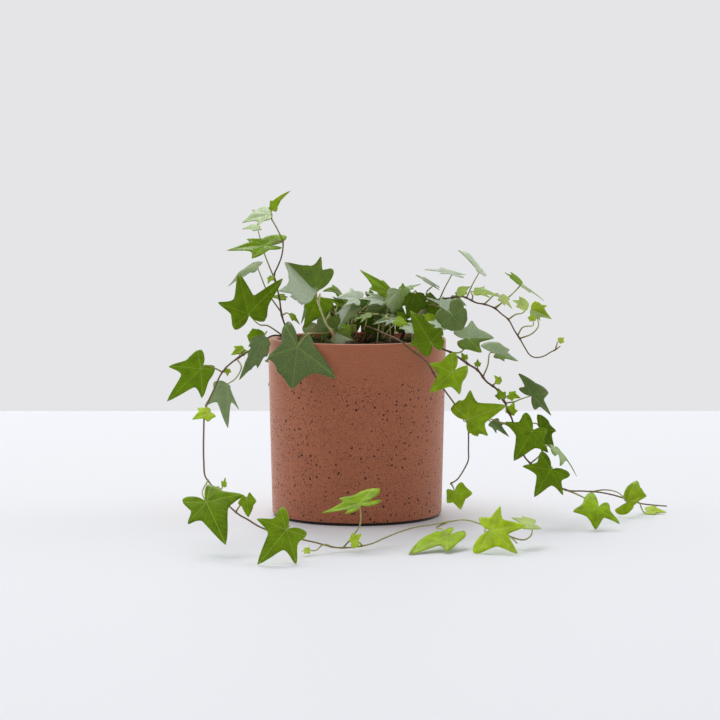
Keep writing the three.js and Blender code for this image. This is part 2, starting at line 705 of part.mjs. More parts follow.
        left: [[208, -8], [199, 8]], right: [[171, 2], [185, 17]], fill: [-0.1, 0, 0.3, 0.1],
        bend: { arch: 0.3 }, stalk: [[175, 15, 54], [184, 10, 54]],
      },
      {
        from: 21.5, at: [214, 9, 18], tip: [229, 14, 22], face: [-0.1, -0.75, 0.6],
        left: [[220, 26], [211, 15]], right: [[219, 7], [204, 3]], fill: [0.3, 0.3, 0.3, 0.3],
        stalk: [[196, 19, 36], [206, 17, 32]],
      },
      { from: 24.6, at: [231, 2, 0], tip: [245, 1, 2], face: [0, -0.4, 0.9] },
    ],
  },
  {
    name: 'vine_arching_right',
    root: [36, 10],
    girth: [0.75, 0.45],
    route: [
      [40, 148, -6], [47, 159, -2], [56, 167, 3], [65, 170, 8], [74, 171, 10], [83, 172, 12],
      [88, 170, 12], [94, 167, 12], [100, 166, 12], [108, 163, 12], [114, 158, 12], [119, 154, 12],
      [124, 145, 12], [128, 139, 12], [132, 132, 12], [136, 126, 12], [140, 124, 12], [147, 125, 12],
      [152, 128, 12], [156, 130, 12], [160, 133, 12],
    ],
    leaves: [
      {
        from: 3, at: [75, 190, 4], tip: [53, 193, 10], face: [0.12, -0.12, 0.98],
        left: [[65, 190], [82, 187]], right: [[66, 195], [85, 189]],
        bend: { arch: 0.03, fold: 0.04, pleat: 0.02, sag: 0.03 }, stalk: [[69, 179, 6]],
      },
      {
        from: 5.6, at: [96, 191, 6], tip: [79, 208, 8], face: [0.7, -0.2, 0.7],
        left: [[89, 199], [95, 191]], right: [[95, 199], [104, 189]], fill: [0.3, 0.3, 0.3, 0.3],
        stalk: [[91, 182, 9]],
      },
      {
        from: 4.4, at: [79, 176, 18], tip: [89, 180, 22], face: [0, -0.7, 0.6],
        left: [[83, 180], [79, 178]], right: [[86, 174], [81, 172]], fill: [0.3, 0.3, 0.3, 0.3],
      },
      {
        from: 6.4, at: [92, 176, 18], tip: [112, 172, 22], face: [0.1, -0.5, 0.85],
        left: [[100, 180], [94, 179]], right: [[105, 171], [94, 173]], fill: [0.2, 0.2, 0.2, 0.2],
      },
      {
        from: 9, at: [129, 182, 14], tip: [116, 191, 16], face: [0.5, -0.4, 0.75],
        left: [[120, 187], [126, 182]], right: [[121, 191], [130, 182]], fill: [0.1, 0.1, 0.1, 0.1],
        bend: { arch: 0.03, fold: 0.04, pleat: 0.02, sag: 0.03 },
        stalk: [[115, 168, 13], [123, 175, 13]],
      },
      {
        from: 8, at: [113, 172, 22], tip: [122, 162, 26], face: [0.2, -0.7, 0.7],
        left: [[120, 170], [115, 174]], right: [[116, 165], [111, 169]],
      },
      {
        from: 11, at: [134, 163, 16], tip: [122, 169, 20], face: [0.1, -0.8, 0.6],
        left: [[125, 164], [131, 161]], right: [[128, 172], [134, 168]], fill: [0.15, 0.15, 0.15, 0.15],
        stalk: [[125, 158, 14], [130, 159, 15]],
      },
      {
        from: 13, at: [137, 162, 16], tip: [153, 154, 18], face: [0, -0.75, 0.6],
        left: [[149, 165], [141, 168]], right: [[144, 153], [137, 158]], fill: [0.4, 0.4, 0.4, 0.4],
        stalk: [[138, 143, 14], [143, 150, 15]],
      },
      { from: 12.6, at: [138, 154, 8], tip: [137, 160, 6], face: [0, -0.9, 0.3] },
      {
        from: 19, at: [159, 137, 13], tip: [163, 140, 14], face: [0, -0.9, 0.4],
        left: [[160, 140], [158, 139]], right: [[163, 136], [160, 135]], fill: [0.2, 0.2, 0.2, 0.2],
      },
      {
        from: 9.1, at: [129, 181, 17], tip: [147, 169, 20], face: [0.5, -0.3, 0.8],
        left: [[137, 177], [131, 181]], right: [[136, 175], [130, 179]], fill: [0.1, 0.1, 0.1, 0.1],
        bend: { arch: 0.03, fold: 0.04, pleat: 0.02, sag: 0.03 },
        stalk: [[115, 168, 15], [123, 175, 16]],
      },
    ],
  },
  {
    name: 'shoot_front_left',
    root: [-18, -47],
    girth: [0.9, 0.6],
    route: [
      [-19, 143, 51], [-24, 150, 52], [-28, 160, 50], [-31.5, 170, 44],
    ],
    leaves: [
      {
        from: 0.2, at: [-47, 132, 66], tip: [-51, 99, 84], face: [0.05, -0.95, 0.25],
        left: [[-17, 108], [-39, 143]], right: [[-70, 124], [-55, 152]], fill: [0.35, -0.2, 0.75, -0.2],
        stalk: [[-25, 143, 44], [-39, 142, 58]],
      },
      {
        from: 2.9, at: [-33, 176, 38], tip: [-57, 199, 44], face: [-0.25, -0.65, 0.7],
        left: [[-61, 176], [-47, 169]], right: [[-28, 203], [-20, 194]], fill: [0.5, 0.6, 0.35, 0.2],
        bend: { fold: 0.5, arch: 0.1 },
      },
      {
        from: 2.2, at: [-31, 170, 30], tip: [-42, 147, 36], face: [0.1, -0.9, 0.4],
        left: [[-24, 151], [-19, 165]], right: [[-42, 164], [-35, 172]], fill: [0.4, 0.4, 0.4, 0.4],
      },
      {
        from: 1.2, at: [-22, 155, 40], tip: [-28, 136, 44], face: [0.1, -0.95, 0.2],
        left: [[-14, 142], [-13, 154]], right: [[-35, 140], [-31, 154]], fill: [0.3, 0.3, 0.3, 0.3],
      },
      {
        from: 0.5, at: [-15, 143, 46], tip: [-2, 137, 50], face: [0.1, -0.85, 0.4],
        left: [[-7, 145], [-12, 148]], right: [[-11, 134], [-20, 137]], fill: [0.3, 0.3, 0.3, 0.3],
      },
      {
        from: 2.6, at: [-36, 175, 26], tip: [-44, 150, 30], face: [0.3, -0.9, 0.2],
        left: [[-35, 165], [-32, 171]], right: [[-44, 165], [-42, 172]], fill: [0.2, 0.2, 0.2, 0.2],
      },
    ],
  },
  {
    name: 'shoot_middle',
    root: [-6, -8],
    girth: [0.9, 0.6],
    route: [
      [-5, 145, 10], [-3, 154, 12], [-1, 163, 12], [2, 170, 10],
    ],
    leaves: [
      {
        from: 2.6, at: [-13, 174, 10], tip: [-27, 176, 16], face: [0, -0.5, 0.85], bend: { arch: 0.6 },
      },
      {
        from: 2, at: [-4, 165, 22], tip: [-15, 143, 32], face: [-0.25, -0.7, 0.6],
        left: [[1, 154], [3, 162]], right: [[-17, 158], [-10, 165]], fill: [0.3, 0.3, 0.3, 0.3],
      },
      {
        from: 3, at: [1, 170, 20], tip: [-16, 171, 26], face: [-0.2, -0.6, 0.75],
        left: [[-9, 165], [0, 165]], right: [[-5, 179], [3, 176]], fill: [0.2, 0.2, 0.2, 0.2],
      },
      {
        from: 3, at: [-8, 165, 14], tip: [-29, 171, 22], face: [0, -0.5, 0.85],
        left: [[-17, 165], [-10, 162]], right: [[-19, 172], [-10, 169]], fill: [0.3, 0.3, 0.3, 0.3],
        bend: { arch: 0.03, fold: 0.04, pleat: 0.02, sag: 0.03 },
      },
      {
        from: 1, at: [11, 158, 36], tip: [-4, 153, 44], face: [0, -0.35, 0.93],
        left: [[2, 151], [9, 155]], right: [[1, 157], [9, 159]], fill: [0.2, 0.2, 0.2, 0.2],
        bend: { arch: 0.03, fold: 0.04, pleat: 0.02, sag: 0.03 },
      },
      { from: 0.4, at: [-7, 148, 34], tip: [-8, 137, 42], face: [0, -0.9, 0.3] },
      {
        from: 2.6, at: [20, 169, 16], tip: [1, 170, 22], face: [-0.15, -0.55, 0.8],
        left: [[9, 165], [19, 165]], right: [[7, 175], [20, 173]], fill: [0.2, 0.2, 0.2, 0.2],
      },
      {
        from: 1.6, at: [9, 162, 8], tip: [25, 165, 8], face: [0.1, -0.8, 0.5],
        left: [[17, 168], [9, 167]], right: [[18, 158], [6, 158]], fill: [0.3, 0.3, 0.3, 0.3],
      },
      {
        from: 0.6, at: [-4, 152, -6], tip: [-10, 141, -2], face: [0.1, -0.9, 0.2],
        fill: [0.3, 0.3, 0.3, 0.3],
      },
      {
        from: 0.6, at: [15, 150, -24], tip: [18, 140, -22], face: [0, -0.95, 0.1],
        fill: [0.3, 0.3, 0.3, 0.3],
      },
      {
        from: 0.6, at: [7, 161, -4], tip: [2, 149, 2], face: [0.2, -0.9, 0.1],
        fill: [0.3, 0.3, 0.3, 0.3],
      },
    ],
  },
  {
    name: 'shoot_right',
    root: [20, -12],
    girth: [0.9, 0.6],
    route: [
      [20, 144, 14], [22, 154, 14], [25, 164, 12], [28, 171, 10],
    ],
    leaves: [
      {
        from: 2.6, at: [26, 175, 10], tip: [2, 193, 8], face: [0, -0.6, 0.8],
        left: [[10, 178], [20, 172]], right: [[20, 185], [31, 178]], fill: [0.5, 0.5, 0.3, -0.3],
      },
      {
        from: 3, at: [34, 177, 16], tip: [28, 159, 30], face: [0, -0.8, 0.5],
        left: [[39, 165], [39, 179]], right: [[20, 166], [24, 176]], fill: [0.9, 0.4, 0.9, 0.4],
      },
      {
        from: 3, at: [38, 178, 6], tip: [50, 182, 4], face: [0.25, -0.3, 0.9],
        left: [[42, 181], [39, 180]], right: [[44, 178], [39, 176]],
        bend: { arch: 0.03, fold: 0.04, pleat: 0.02, sag: 0.03 },
      },
      {
        from: 1, at: [31, 155, 28], tip: [12, 150, 38], face: [0, -0.5, 0.85],
        left: [[22, 149], [29, 150]], right: [[18, 158], [27, 158]], fill: [0.2, 0.2, 0.2, 0.2],
        bend: { arch: 0.03, fold: 0.04, pleat: 0.02, sag: 0.03 },
      },
      {
        from: 1, at: [31, 154, 47], tip: [42, 149, 51], face: [0.1, -0.6, 0.75],
        left: [[37, 154], [32, 156]], right: [[35, 148], [29, 150]], fill: [0.3, 0.3, 0.3, 0.3],
      },
      {
        from: 0.8, at: [36, 154, 28], tip: [31, 161, 28], face: [0.1, -0.9, 0.4],
        left: [[31, 154], [35, 152]], right: [[37, 160], [39, 156]], fill: [0.2, 0.2, 0.2, 0.2],
      },
      {
        from: 0.6, at: [45, 147, 40], tip: [33, 147, 46], face: [-0.1, -0.55, 0.8],
        left: [[39, 143], [44, 143]], right: [[39, 151], [45, 150]], fill: [0.3, 0.3, 0.3, 0.3],
      },
      {
        from: 3, at: [36, 176, -4], tip: [36, 183, -8], face: [0.1, -0.9, 0.3],
        left: [[33, 179], [34, 175]], right: [[39, 179], [39, 175]], fill: [0.2, 0.2, 0.2, 0.2],
      },
      {
        from: 0.35, at: [12, 152, 14], tip: [3, 141, 18], face: [0.2, -0.9, 0.1],
        fill: [0.3, 0.3, 0.3, 0.3],
      },
      {
        from: 0.35, at: [22, 152, 1], tip: [29, 141, 3], face: [-0.2, -0.9, 0.1],
        fill: [0.3, 0.3, 0.3, 0.3],
      },
      {
        from: 0.35, at: [35, 150, 6], tip: [42, 142, 8], face: [0.1, -0.95, 0.1],
        fill: [0.3, 0.3, 0.3, 0.3],
      },
    ],
  },
  {
    name: 'shoot_far_right',
    root: [44, -14],
    girth: [0.9, 0.6],
    route: [
      [46, 144, 14], [48, 154, 16], [51, 164, 16], [54, 170, 14],
    ],
    leaves: [
      {
        from: 2.4, at: [45, 174, 24], tip: [39, 154, 34], face: [0.2, -0.97, 0.1],
        left: [[57, 164], [53, 173]], right: [[35, 166], [40, 174]], fill: [0.5, 0.5, 0.6, 0.7],
      },
      {
        from: 3, at: [75, 157, 50], tip: [83, 146, 52], face: [0.1, -0.95, 0.2],
        left: [[84, 163], [75, 170]], right: [[66, 150], [65, 162]], fill: [0.5, 0.5, 0.5, 0.5],
        stalk: [[66, 163, 24], [74, 161, 30]],
      },
      {
        from: 3, at: [57, 183, 12], tip: [46, 189, 14], face: [0.49, -0.1, 0.87],
        left: [[53, 184], [65, 177]], right: [[53, 187], [66, 179]],
        bend: { arch: 0.03, fold: 0.04, pleat: 0.02, sag: 0.03 },
      },
      { from: 2, at: [75, 169, 9], tip: [86, 165, 13], face: [-0.2, -0.6, 0.75] },
      {
        from: 1.2, at: [61, 153, 30], tip: [50, 158, 32], face: [0, -0.7, 0.6],
        left: [[54, 153], [60, 150]], right: [[56, 159], [61, 157]], fill: [0.2, 0.2, 0.2, 0.2],
      },
      {
        from: 1, at: [68, 150, 40], tip: [53, 152, 48], face: [-0.1, -0.5, 0.85],
        left: [[61, 147], [68, 146]], right: [[61, 154], [68, 153]], fill: [0.2, 0.2, 0.2, 0.2],
        bend: { arch: 0.03, fold: 0.04, pleat: 0.02, sag: 0.03 },
      },
      {
        from: 1.8, at: [64, 159, 15], tip: [57, 176, 15], face: [0.1, -0.9, 0.4],
        left: [[48, 169], [57, 158]], right: [[68, 172], [71, 158]], fill: [0.3, 0.3, 0.3, 0.3],
      },
      {
        from: 1.9, at: [73, 162, 26], tip: [54, 171, 28], face: [-0.1, -0.6, 0.8],
        left: [[64, 165], [72, 159]], right: [[65, 171], [75, 169]], fill: [0.3, 0.3, 0.3, 0.3],
      },
    ],
  },
];

// The far side in real places [x, y, z]. Its leaves follow the rule above.
const FAR_VINES = [
  {
    name: 'vine_back_left',
    root: [-22, 34],
    girth: [1.2, 0.7],
    route: [
      [-24, 42, 145], [-28, 54, 148], [-33, 66, 144.5], [-37, 75, 135], [-39, 79, 116], [-38, 80, 95],
      [-35, 82, 75], [-33, 84, 55], [-33, 87, 36], [-31, 93, 17], [-23, 101, 5], [-10, 106, 2],
      [6, 108, 2],
    ],
    leafing: { first: 3, count: 7, longest: 31, shortest: 16, seed: 11 },
  },
  {
    name: 'vine_back_right',
    root: [26, 30],
    girth: [1.2, 0.7],
    route: [
      [28, 40, 144], [31, 52, 148], [34, 64, 145], [38, 73, 135], [41, 78, 119], [41, 80, 100],
      [38, 81, 84], [34, 82, 68], [33, 84, 54],
    ],
    leafing: { first: 3, count: 6, longest: 30, shortest: 13, seed: 23 },
  },
  {
    name: 'shoot_back_left',
    root: [-13, 19],
    girth: [1.1, 0.7],
    route: [[-14, 21, 147], [-16, 25, 154], [-18, 30, 160]],
    leafing: { first: 0.6, count: 4, longest: 22, shortest: 15, seed: 5 },
  },
  {
    name: 'shoot_back_middle',
    root: [6, 36],
    girth: [1.1, 0.7],
    route: [[6, 39, 147], [5, 44, 155], [4, 50, 161]],
    leafing: { first: 0.5, count: 4, longest: 26, shortest: 17, seed: 8 },
  },
  {
    name: 'shoot_centre',
    root: [14, 4],
    girth: [1.1, 0.7],
    route: [[14, 6, 148], [14, 9, 158], [15, 12, 167]],
    leafing: { first: 0.6, count: 4, longest: 25, shortest: 16, seed: 31 },
  },
  {
    name: 'shoot_back_right',
    root: [42, 22],
    girth: [1.1, 0.7],
    route: [[44, 26, 146], [47, 31, 155], [50, 36, 162]],
    leafing: { first: 0.5, count: 4, longest: 25, shortest: 16, seed: 17 },
  },
];

const vines = [...FRONT_VINES.map(measuredVine), ...FAR_VINES.map(ruledVine)];

// ---- Pot and soil ----
function outerRadius(height) {
  return FOOT_RADIUS + ((RIM_RADIUS - FOOT_RADIUS) * height) / POT_HEIGHT;
}

function potGeometry() {
  const profile = [
    [0, 0],
    [FOOT_RADIUS - FOOT_INSET, 0],
    [FOOT_RADIUS - FOOT_INSET, FOOT_STEP - FOOT_BEVEL],
    [FOOT_RADIUS, FOOT_STEP],
    [outerRadius(POT_HEIGHT / 2), POT_HEIGHT / 2],
    [RIM_RADIUS, POT_HEIGHT - LIP_ROUND],
    [RIM_RADIUS - LIP_ROUND, POT_HEIGHT],
    [RIM_RADIUS - WALL + LIP_ROUND, POT_HEIGHT],
    [RIM_RADIUS - WALL, POT_HEIGHT - LIP_ROUND],
    [outerRadius(FLOOR) - WALL, FLOOR + INNER_CHAMFER],
    [outerRadius(FLOOR) - WALL - INNER_CHAMFER, FLOOR],
    [0, FLOOR],
  ];
  return new THREE.LatheGeometry(profile.map(([r, z]) => new THREE.Vector2(r, z)), POT_SIDES);
}

// Lathes turn about Y; this stands them up on Z.
function upright(geometry) {
  return geometry.rotateX(Math.PI / 2);
}

function soilBody() {
  const wallTop = RIM_RADIUS - WALL - CLEARANCE;
  const wallFoot = outerRadius(FLOOR) - WALL - CLEARANCE;
  const top = [];
  for (let i = 0; i <= SOIL_RINGS; i++) {
    const radius = wallTop * (1 - i / SOIL_RINGS);
    top.push([radius, soilHeight(radius)]);
  }
  const profile = [
    [0, FLOOR + CLEARANCE],
    [wallFoot - INNER_CHAMFER, FLOOR + CLEARANCE],
    [wallFoot, FLOOR + CLEARANCE + INNER_CHAMFER],
    ...top,
  ];
  const points = profile.map(([r, z]) => new THREE.Vector2(r, z));
  let body = solidOf(upright(new THREE.LatheGeometry(points, SOIL_SIDES)));
  for (const vine of vines) {
    const [x, y] = vine.root;
    const ground = soilHeight(Math.hypot(x, y));
    const radius = vine.girth[0] + HOLE_CLEARANCE;
    const hole = new THREE.CylinderGeometry(radius, radius, 2 * ROOT_DEPTHS[0], HOLE_SIDES);
    hole.rotateX(Math.PI / 2).translate(x, y, ground - CLEARANCE);
    body = body.subtract(solidOf(hole));
  }
  return body;
}

// ---- The model ----
const concrete = new THREE.MeshStandardMaterial({ color: 0x9a6450, roughness: 0.9, metalness: 0 });
const earth = new THREE.MeshStandardMaterial({ color: 0x3a2a1e, roughness: 1, metalness: 0 });
const foliage = new THREE.MeshStandardMaterial({ color: 0x4a7a1f, roughness: 0.45, metalness: 0 });

const plant = new THREE.Group();
function place(name, geometry, material) {
  const mesh = new THREE.Mesh(geometry, material);
  mesh.name = name;
  plant.add(mesh);
}

place('pot', upright(potGeometry()), concrete);
place('soil', geometryOf(soilBody()), earth);
for (const vine of vines) place(vine.name, geometryOf(vineBody(vine)), foliage);

export default plant;
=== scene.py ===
# %% [markdown]
# # A potted ivy
# A young ivy climbs, hangs and trails out of a plain cylindrical pot. The measured model already has
# the pot, the soil and every stem with its leaves as simple solids, so this lesson doesn't invent any
# places: it loads those solids as a fixed frame and grows a finer plant in exactly the same spots.
# %% Load the frame
import math

import bmesh
import bpy
from mathutils import Euler, Matrix, Vector, noise
from mathutils.geometry import interpolate_bezier


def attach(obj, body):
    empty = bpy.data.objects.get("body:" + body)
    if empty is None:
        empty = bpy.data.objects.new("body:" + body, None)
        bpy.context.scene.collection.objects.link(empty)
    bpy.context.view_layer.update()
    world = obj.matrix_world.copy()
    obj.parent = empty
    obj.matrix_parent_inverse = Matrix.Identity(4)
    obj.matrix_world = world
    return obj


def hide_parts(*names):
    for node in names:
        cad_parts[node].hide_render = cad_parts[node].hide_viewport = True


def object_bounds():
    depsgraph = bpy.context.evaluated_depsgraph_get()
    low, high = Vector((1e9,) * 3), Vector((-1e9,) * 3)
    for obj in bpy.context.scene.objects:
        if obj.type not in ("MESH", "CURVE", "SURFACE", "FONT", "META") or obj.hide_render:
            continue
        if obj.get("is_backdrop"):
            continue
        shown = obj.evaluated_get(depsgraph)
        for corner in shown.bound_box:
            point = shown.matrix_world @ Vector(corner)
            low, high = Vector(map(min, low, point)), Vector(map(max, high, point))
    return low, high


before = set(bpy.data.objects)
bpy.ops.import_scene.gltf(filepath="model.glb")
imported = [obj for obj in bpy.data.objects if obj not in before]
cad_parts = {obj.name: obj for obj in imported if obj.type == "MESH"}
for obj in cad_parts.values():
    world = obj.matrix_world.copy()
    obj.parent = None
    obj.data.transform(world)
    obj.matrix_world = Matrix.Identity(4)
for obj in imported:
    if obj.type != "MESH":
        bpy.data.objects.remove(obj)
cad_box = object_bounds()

MM = 0.001
scene = bpy.context.scene
sides = [round(side, 3) for side in cad_box[1] - cad_box[0]]
print("frame:", len(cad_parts), "nodes,", sides, "m")

# %% [markdown]
# ## The camera
# A product photograph like this one is taken from far away with a long lens, so the pot's sides stay
# almost parallel. The eye stands 1.9 m in front of the pot and a little above its rim. Every place on
# the plant was measured from this same eye, so its numbers come first.
# %% Camera
EYE = Vector((2.4, -1903, 280)) * MM
AIM = Vector((2.4, 0, 122)) * MM
LENS_MM = 121.3
SENSOR_MM = 36

camera = bpy.data.objects.new("camera", bpy.data.cameras.new("camera"))
camera.data.lens = LENS_MM
camera.data.sensor_width = SENSOR_MM
camera.location = EYE
camera.rotation_euler = (AIM - EYE).to_track_quat("-Z", "Y").to_euler()
scene.collection.objects.link(camera)
scene.camera = camera
scene.view_settings.view_transform = "Standard"
tilt = math.degrees(math.asin((EYE.z - AIM.z) / (AIM - EYE).length))
print("camera looks down by", round(tilt, 2), "degrees")

# %% [markdown]
# ## Helpers for materials
# Screen colours are written as sRGB hex values, but shaders count light, so one function turns a hex
# value to linear. A second one adds a node, sets it and wires it in a single line, and a third starts
# a material. That keeps each material short enough to read from top to bottom.
# %% Colour and node helpers
def linear(hex_value):
    """An sRGB hex colour as the linear colour and alpha that shaders use."""
    channels = [int(hex_value[i : i + 2], 16) / 255 for i in (1, 3, 5)]
    return (*[c / 12.92 if c <= 0.04045 else ((c + 0.055) / 1.055) ** 2.4 for c in channels], 1)


def add(tree, kind, wires=(), stops=None, **settings):
    """Adds a shader node. wires has an input's value, or the output that feeds it; stops are a ramp's."""
    node = tree.nodes.new("ShaderNode" + kind)
    for name, value in settings.items():
        setattr(node, name, value)
    for socket, value in dict(wires).items():
        if isinstance(value, bpy.types.NodeSocket):
            tree.links.new(value, node.inputs[socket])
        else:
            node.inputs[socket].default_value = value
    if stops:
        steps = node.color_ramp.elements
        for place, hex_value in stops.items():
            step = steps[0] if place == 0 else steps[-1] if place == 1 else steps.new(place)
            step.color = linear(hex_value)
    return node


def new_material(name, roughness, ior):
    """A material with its roughness and IOR, its node tree and the shader that the pattern is wired to."""
    material = bpy.data.materials.new(name)
    material.use_nodes = True
    shader = material.node_tree.nodes["Principled BSDF"]
    shader.inputs["Roughness"].default_value = roughness
    shader.inputs["IOR"].default_value = ior
    return material, material.node_tree, shader


# Input numbers of the Mix node when it mixes colours, because its input names repeat.
FACTOR, FIRST, SECOND = 0, 6, 7
MIXED = 2
print("the mid grey #808080 is", round(linear("#808080")[0], 3), "as light")

# %% [markdown]
# ## Wall and room
# The photograph is high-key: a pale table, a pale wall and light from nearly everywhere, except that
# the room behind the camera is dark, which is why leaves that face the camera keep a deep colour. One
# even sky would light all leaves alike, so the world fades by direction from the pale wall, which also
# shows behind the table, to the dim room.
# %% World light
WALL_TONE = "#E5E5E7"
ROOM_TONE = "#9C9C9E"
BRIGHT_WAY = (0, 0.9, 0.45)
ROOM_ENDS = -0.25
WALL_STARTS = 0.75

world = bpy.data.worlds.new("studio")
world.use_nodes = True
tree = world.node_tree
way = add(tree, "TexCoord").outputs["Generated"]
lit = add(tree, "VectorMath", {0: way, 1: BRIGHT_WAY}, operation="DOT_PRODUCT").outputs["Value"]
share = add(tree, "MapRange", {"Value": lit, "From Min": ROOM_ENDS, "From Max": WALL_STARTS})
around = add(tree, "Mix", {
    FACTOR: share.outputs["Result"], FIRST: linear(ROOM_TONE), SECOND: linear(WALL_TONE)}, data_type="RGBA")
tree.links.new(around.outputs[MIXED], tree.nodes["Background"].inputs["Color"])
scene.world = world
print("the world fades from", ROOM_TONE, "behind the camera to", WALL_TONE)

# %% [markdown]
# ## The table
# The pot stands on a matt white lacquered table, which ends where the photograph shows its far edge. It
# only has to catch shadows, so one flat face is enough. It is a backdrop and no part of the plant, and
# is marked as stage.
# %% Table
TABLE_FAR_EDGE = 784 * MM
TABLE_HALF = 3000 * MM
TABLE_TONE = "#E8EAEE"

bm = bmesh.new()
bmesh.ops.create_grid(bm, x_segments=1, y_segments=1, size=TABLE_HALF)
bmesh.ops.translate(bm, vec=(0, TABLE_FAR_EDGE - TABLE_HALF, 0), verts=bm.verts[:])
table_mesh = bpy.data.meshes.new("table")
bm.to_mesh(table_mesh)
bm.free()
table = bpy.data.objects.new("table", table_mesh)
scene.collection.objects.link(table)
table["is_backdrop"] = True

lacquer, tree, shader = new_material("matt white lacquered table", roughness=0.55, ior=1.45)
shader.inputs["Base Color"].default_value = linear(TABLE_TONE)
shader.inputs["Specular IOR Level"].default_value = 0.15
table.data.materials.append(lacquer)
print("the table ends", TABLE_FAR_EDGE, "m behind the pot")

# %% [markdown]
# ## Soft lights
# Point lamps would draw hard shadows, so all lights are softboxes. One hangs high behind the pot and
# draws its shadow forwards, and a bigger one far up on the left lays a faint shadow to the right. Both
# lay a silvery sheen on level leaves. One at each side makes the pot's edges paler.
# %% Lights
LIT_SPOT = Vector((0, 0, 0.1))
# name, where it hangs, its size in metres and its power in watts
LIGHTS = [
    ("softbox behind", (-0.8, 4.0, 5.6), 2.4, 160),
    ("softbox above", (-3.0, 0.3, 6.4), 3.0, 84),
    ("softbox left", (-3.4, 0.9, 1.4), 2.2, 13),
    ("softbox right", (3.4, 1.1, 1.4), 2.2, 22),
]
for name, place, size, power in LIGHTS:
    lamp = bpy.data.objects.new(name, bpy.data.lights.new(name, "AREA"))
    lamp.data.size = size
    lamp.data.energy = power
    lamp.location = place
    lamp.rotation_euler = (LIT_SPOT - Vector(place)).to_track_quat("-Z", "Y").to_euler()
    lamp.visible_camera = False
    scene.collection.objects.link(lamp)
print(len(LIGHTS), "soft lights")

# %% [markdown]
# ## A finished piece
# Every shape below is made in a bmesh, which is Blender's workbench for a mesh. One function puts the
# result in the scene, says which measured solid it stands for and which finish it takes, and prints
# how many faces it has.
# %% Piece helper
def put(name, bm, materials, node):
    """Makes an object of the bmesh, in place of the measured solid called node."""
    mesh = bpy.data.meshes.new(name)
    bm.to_mesh(mesh)
    bm.free()
    mesh.shade_smooth()
    for material in materials:
        mesh.materials.append(material)
    made = bpy.data.objects.new(name, mesh)
    scene.collection.objects.link(made)
    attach(made, "root")
    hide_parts(node)
    print(name, "has", len(mesh.polygons), "faces")
    return made


# %% [markdown]
# ## The pot
# The pot is cast in one piece: a straight wall that leans out a little, a floor, and a recess under its
# foot that draws a thin dark line. A cylinder with a hole in it would need the same edges cut one by
# one, but all of the pot is a solid of revolution, so one profile is drawn in the half plane and
# turned once round the axis, like clay on a wheel.
# %% Pot profile and spin
POT_HEIGHT = 139.5 * MM
RIM_RADIUS = 70 * MM
FOOT_RADIUS = 66.8 * MM
WALL = 7 * MM
FLOOR = 8 * MM
FOOT_STEP = 2.4 * MM
FOOT_INSET = 1.5 * MM
POT_SIDES = 160
SAME_POINT = 0.001 * MM


def outer_radius(height):
    """How far the wall's outside stands from the axis."""
    return FOOT_RADIUS + (RIM_RADIUS - FOOT_RADIUS) * height / POT_HEIGHT


def spin_round(bm, profile, sides):
    """Turns a profile of (radius, height) points, which starts and ends on the axis, into a closed body."""
    points = [bm.verts.new((radius, 0, height)) for radius, height in profile]
    edges = [bm.edges.new(pair) for pair in zip(points, points[1:])]
    bmesh.ops.spin(bm, geom=points + edges, cent=(0, 0, 0), axis=(0, 0, 1), steps=sides,
                   angle=math.tau, use_merge=True)
    bmesh.ops.remove_doubles(bm, verts=bm.verts[:], dist=SAME_POINT)
    bmesh.ops.recalc_face_normals(bm, faces=bm.faces[:])


bm = bmesh.new()
spin_round(bm, [
    (0, 0),
    (FOOT_RADIUS - FOOT_INSET, 0),
    (FOOT_RADIUS - FOOT_INSET, FOOT_STEP),
    (FOOT_RADIUS, FOOT_STEP),
    (outer_radius(POT_HEIGHT / 2), POT_HEIGHT / 2),
    (RIM_RADIUS, POT_HEIGHT),
    (RIM_RADIUS - WALL, POT_HEIGHT),
    (outer_radius(FLOOR) - WALL, FLOOR),
    (0, FLOOR),
], POT_SIDES)
print("the plain pot has", len(bm.faces), "faces")

# %% [markdown]
# ## Lip and foot
# A cast edge is never sharp, and the lip is the one edge that catches the light. A bevel of the chosen
# edges alone rounds them: both rings of the lip, and the ring where the wall turns in to the foot.
# %% Rounded edges
LIP_ROUND = 1.2 * MM
FOOT_ROUND = 0.4 * MM
AT_STEP = 0.01 * MM

lip = [edge for edge in bm.edges if all(vert.co.z > POT_HEIGHT - LIP_ROUND / 2 for vert in edge.verts)
       and abs(edge.verts[0].co.xy.length - edge.verts[1].co.xy.length) < WALL / 2]
bmesh.ops.bevel(bm, geom=lip, offset=LIP_ROUND, offset_type="OFFSET", affect="EDGES", segments=4,
                profile=0.5, material=-1)
foot = [edge for edge in bm.edges if all(abs(vert.co.z - FOOT_STEP) < AT_STEP
        and vert.co.xy.length > FOOT_RADIUS - FOOT_INSET / 2 for vert in edge.verts)]
bmesh.ops.bevel(bm, geom=foot, offset=FOOT_ROUND, offset_type="OFFSET", affect="EDGES", segments=2,
                profile=0.5, material=-1)
print("lip edges", len(lip), "foot edges", len(foot))

# %% [markdown]
# ## Cast stone
# The pot is terracotta-coloured cast stone: a fine clay and cement mix that is poured in a mould, dry
# and matt. A flat colour would look like plastic, so three noises vary it: broad clouds where the mix
# was uneven, faint level lines that the mould left, and a sandy grain.
# %% Cast stone colour
CLOUD_SIZE = 22 * MM
LINE_SIZE = 16 * MM
LINE_SQUEEZE = (1, 1, 14)
GRAIN_SIZE = 0.9 * MM
LINE_SHARE = 0.16
GRAIN_SHARE = 0.34

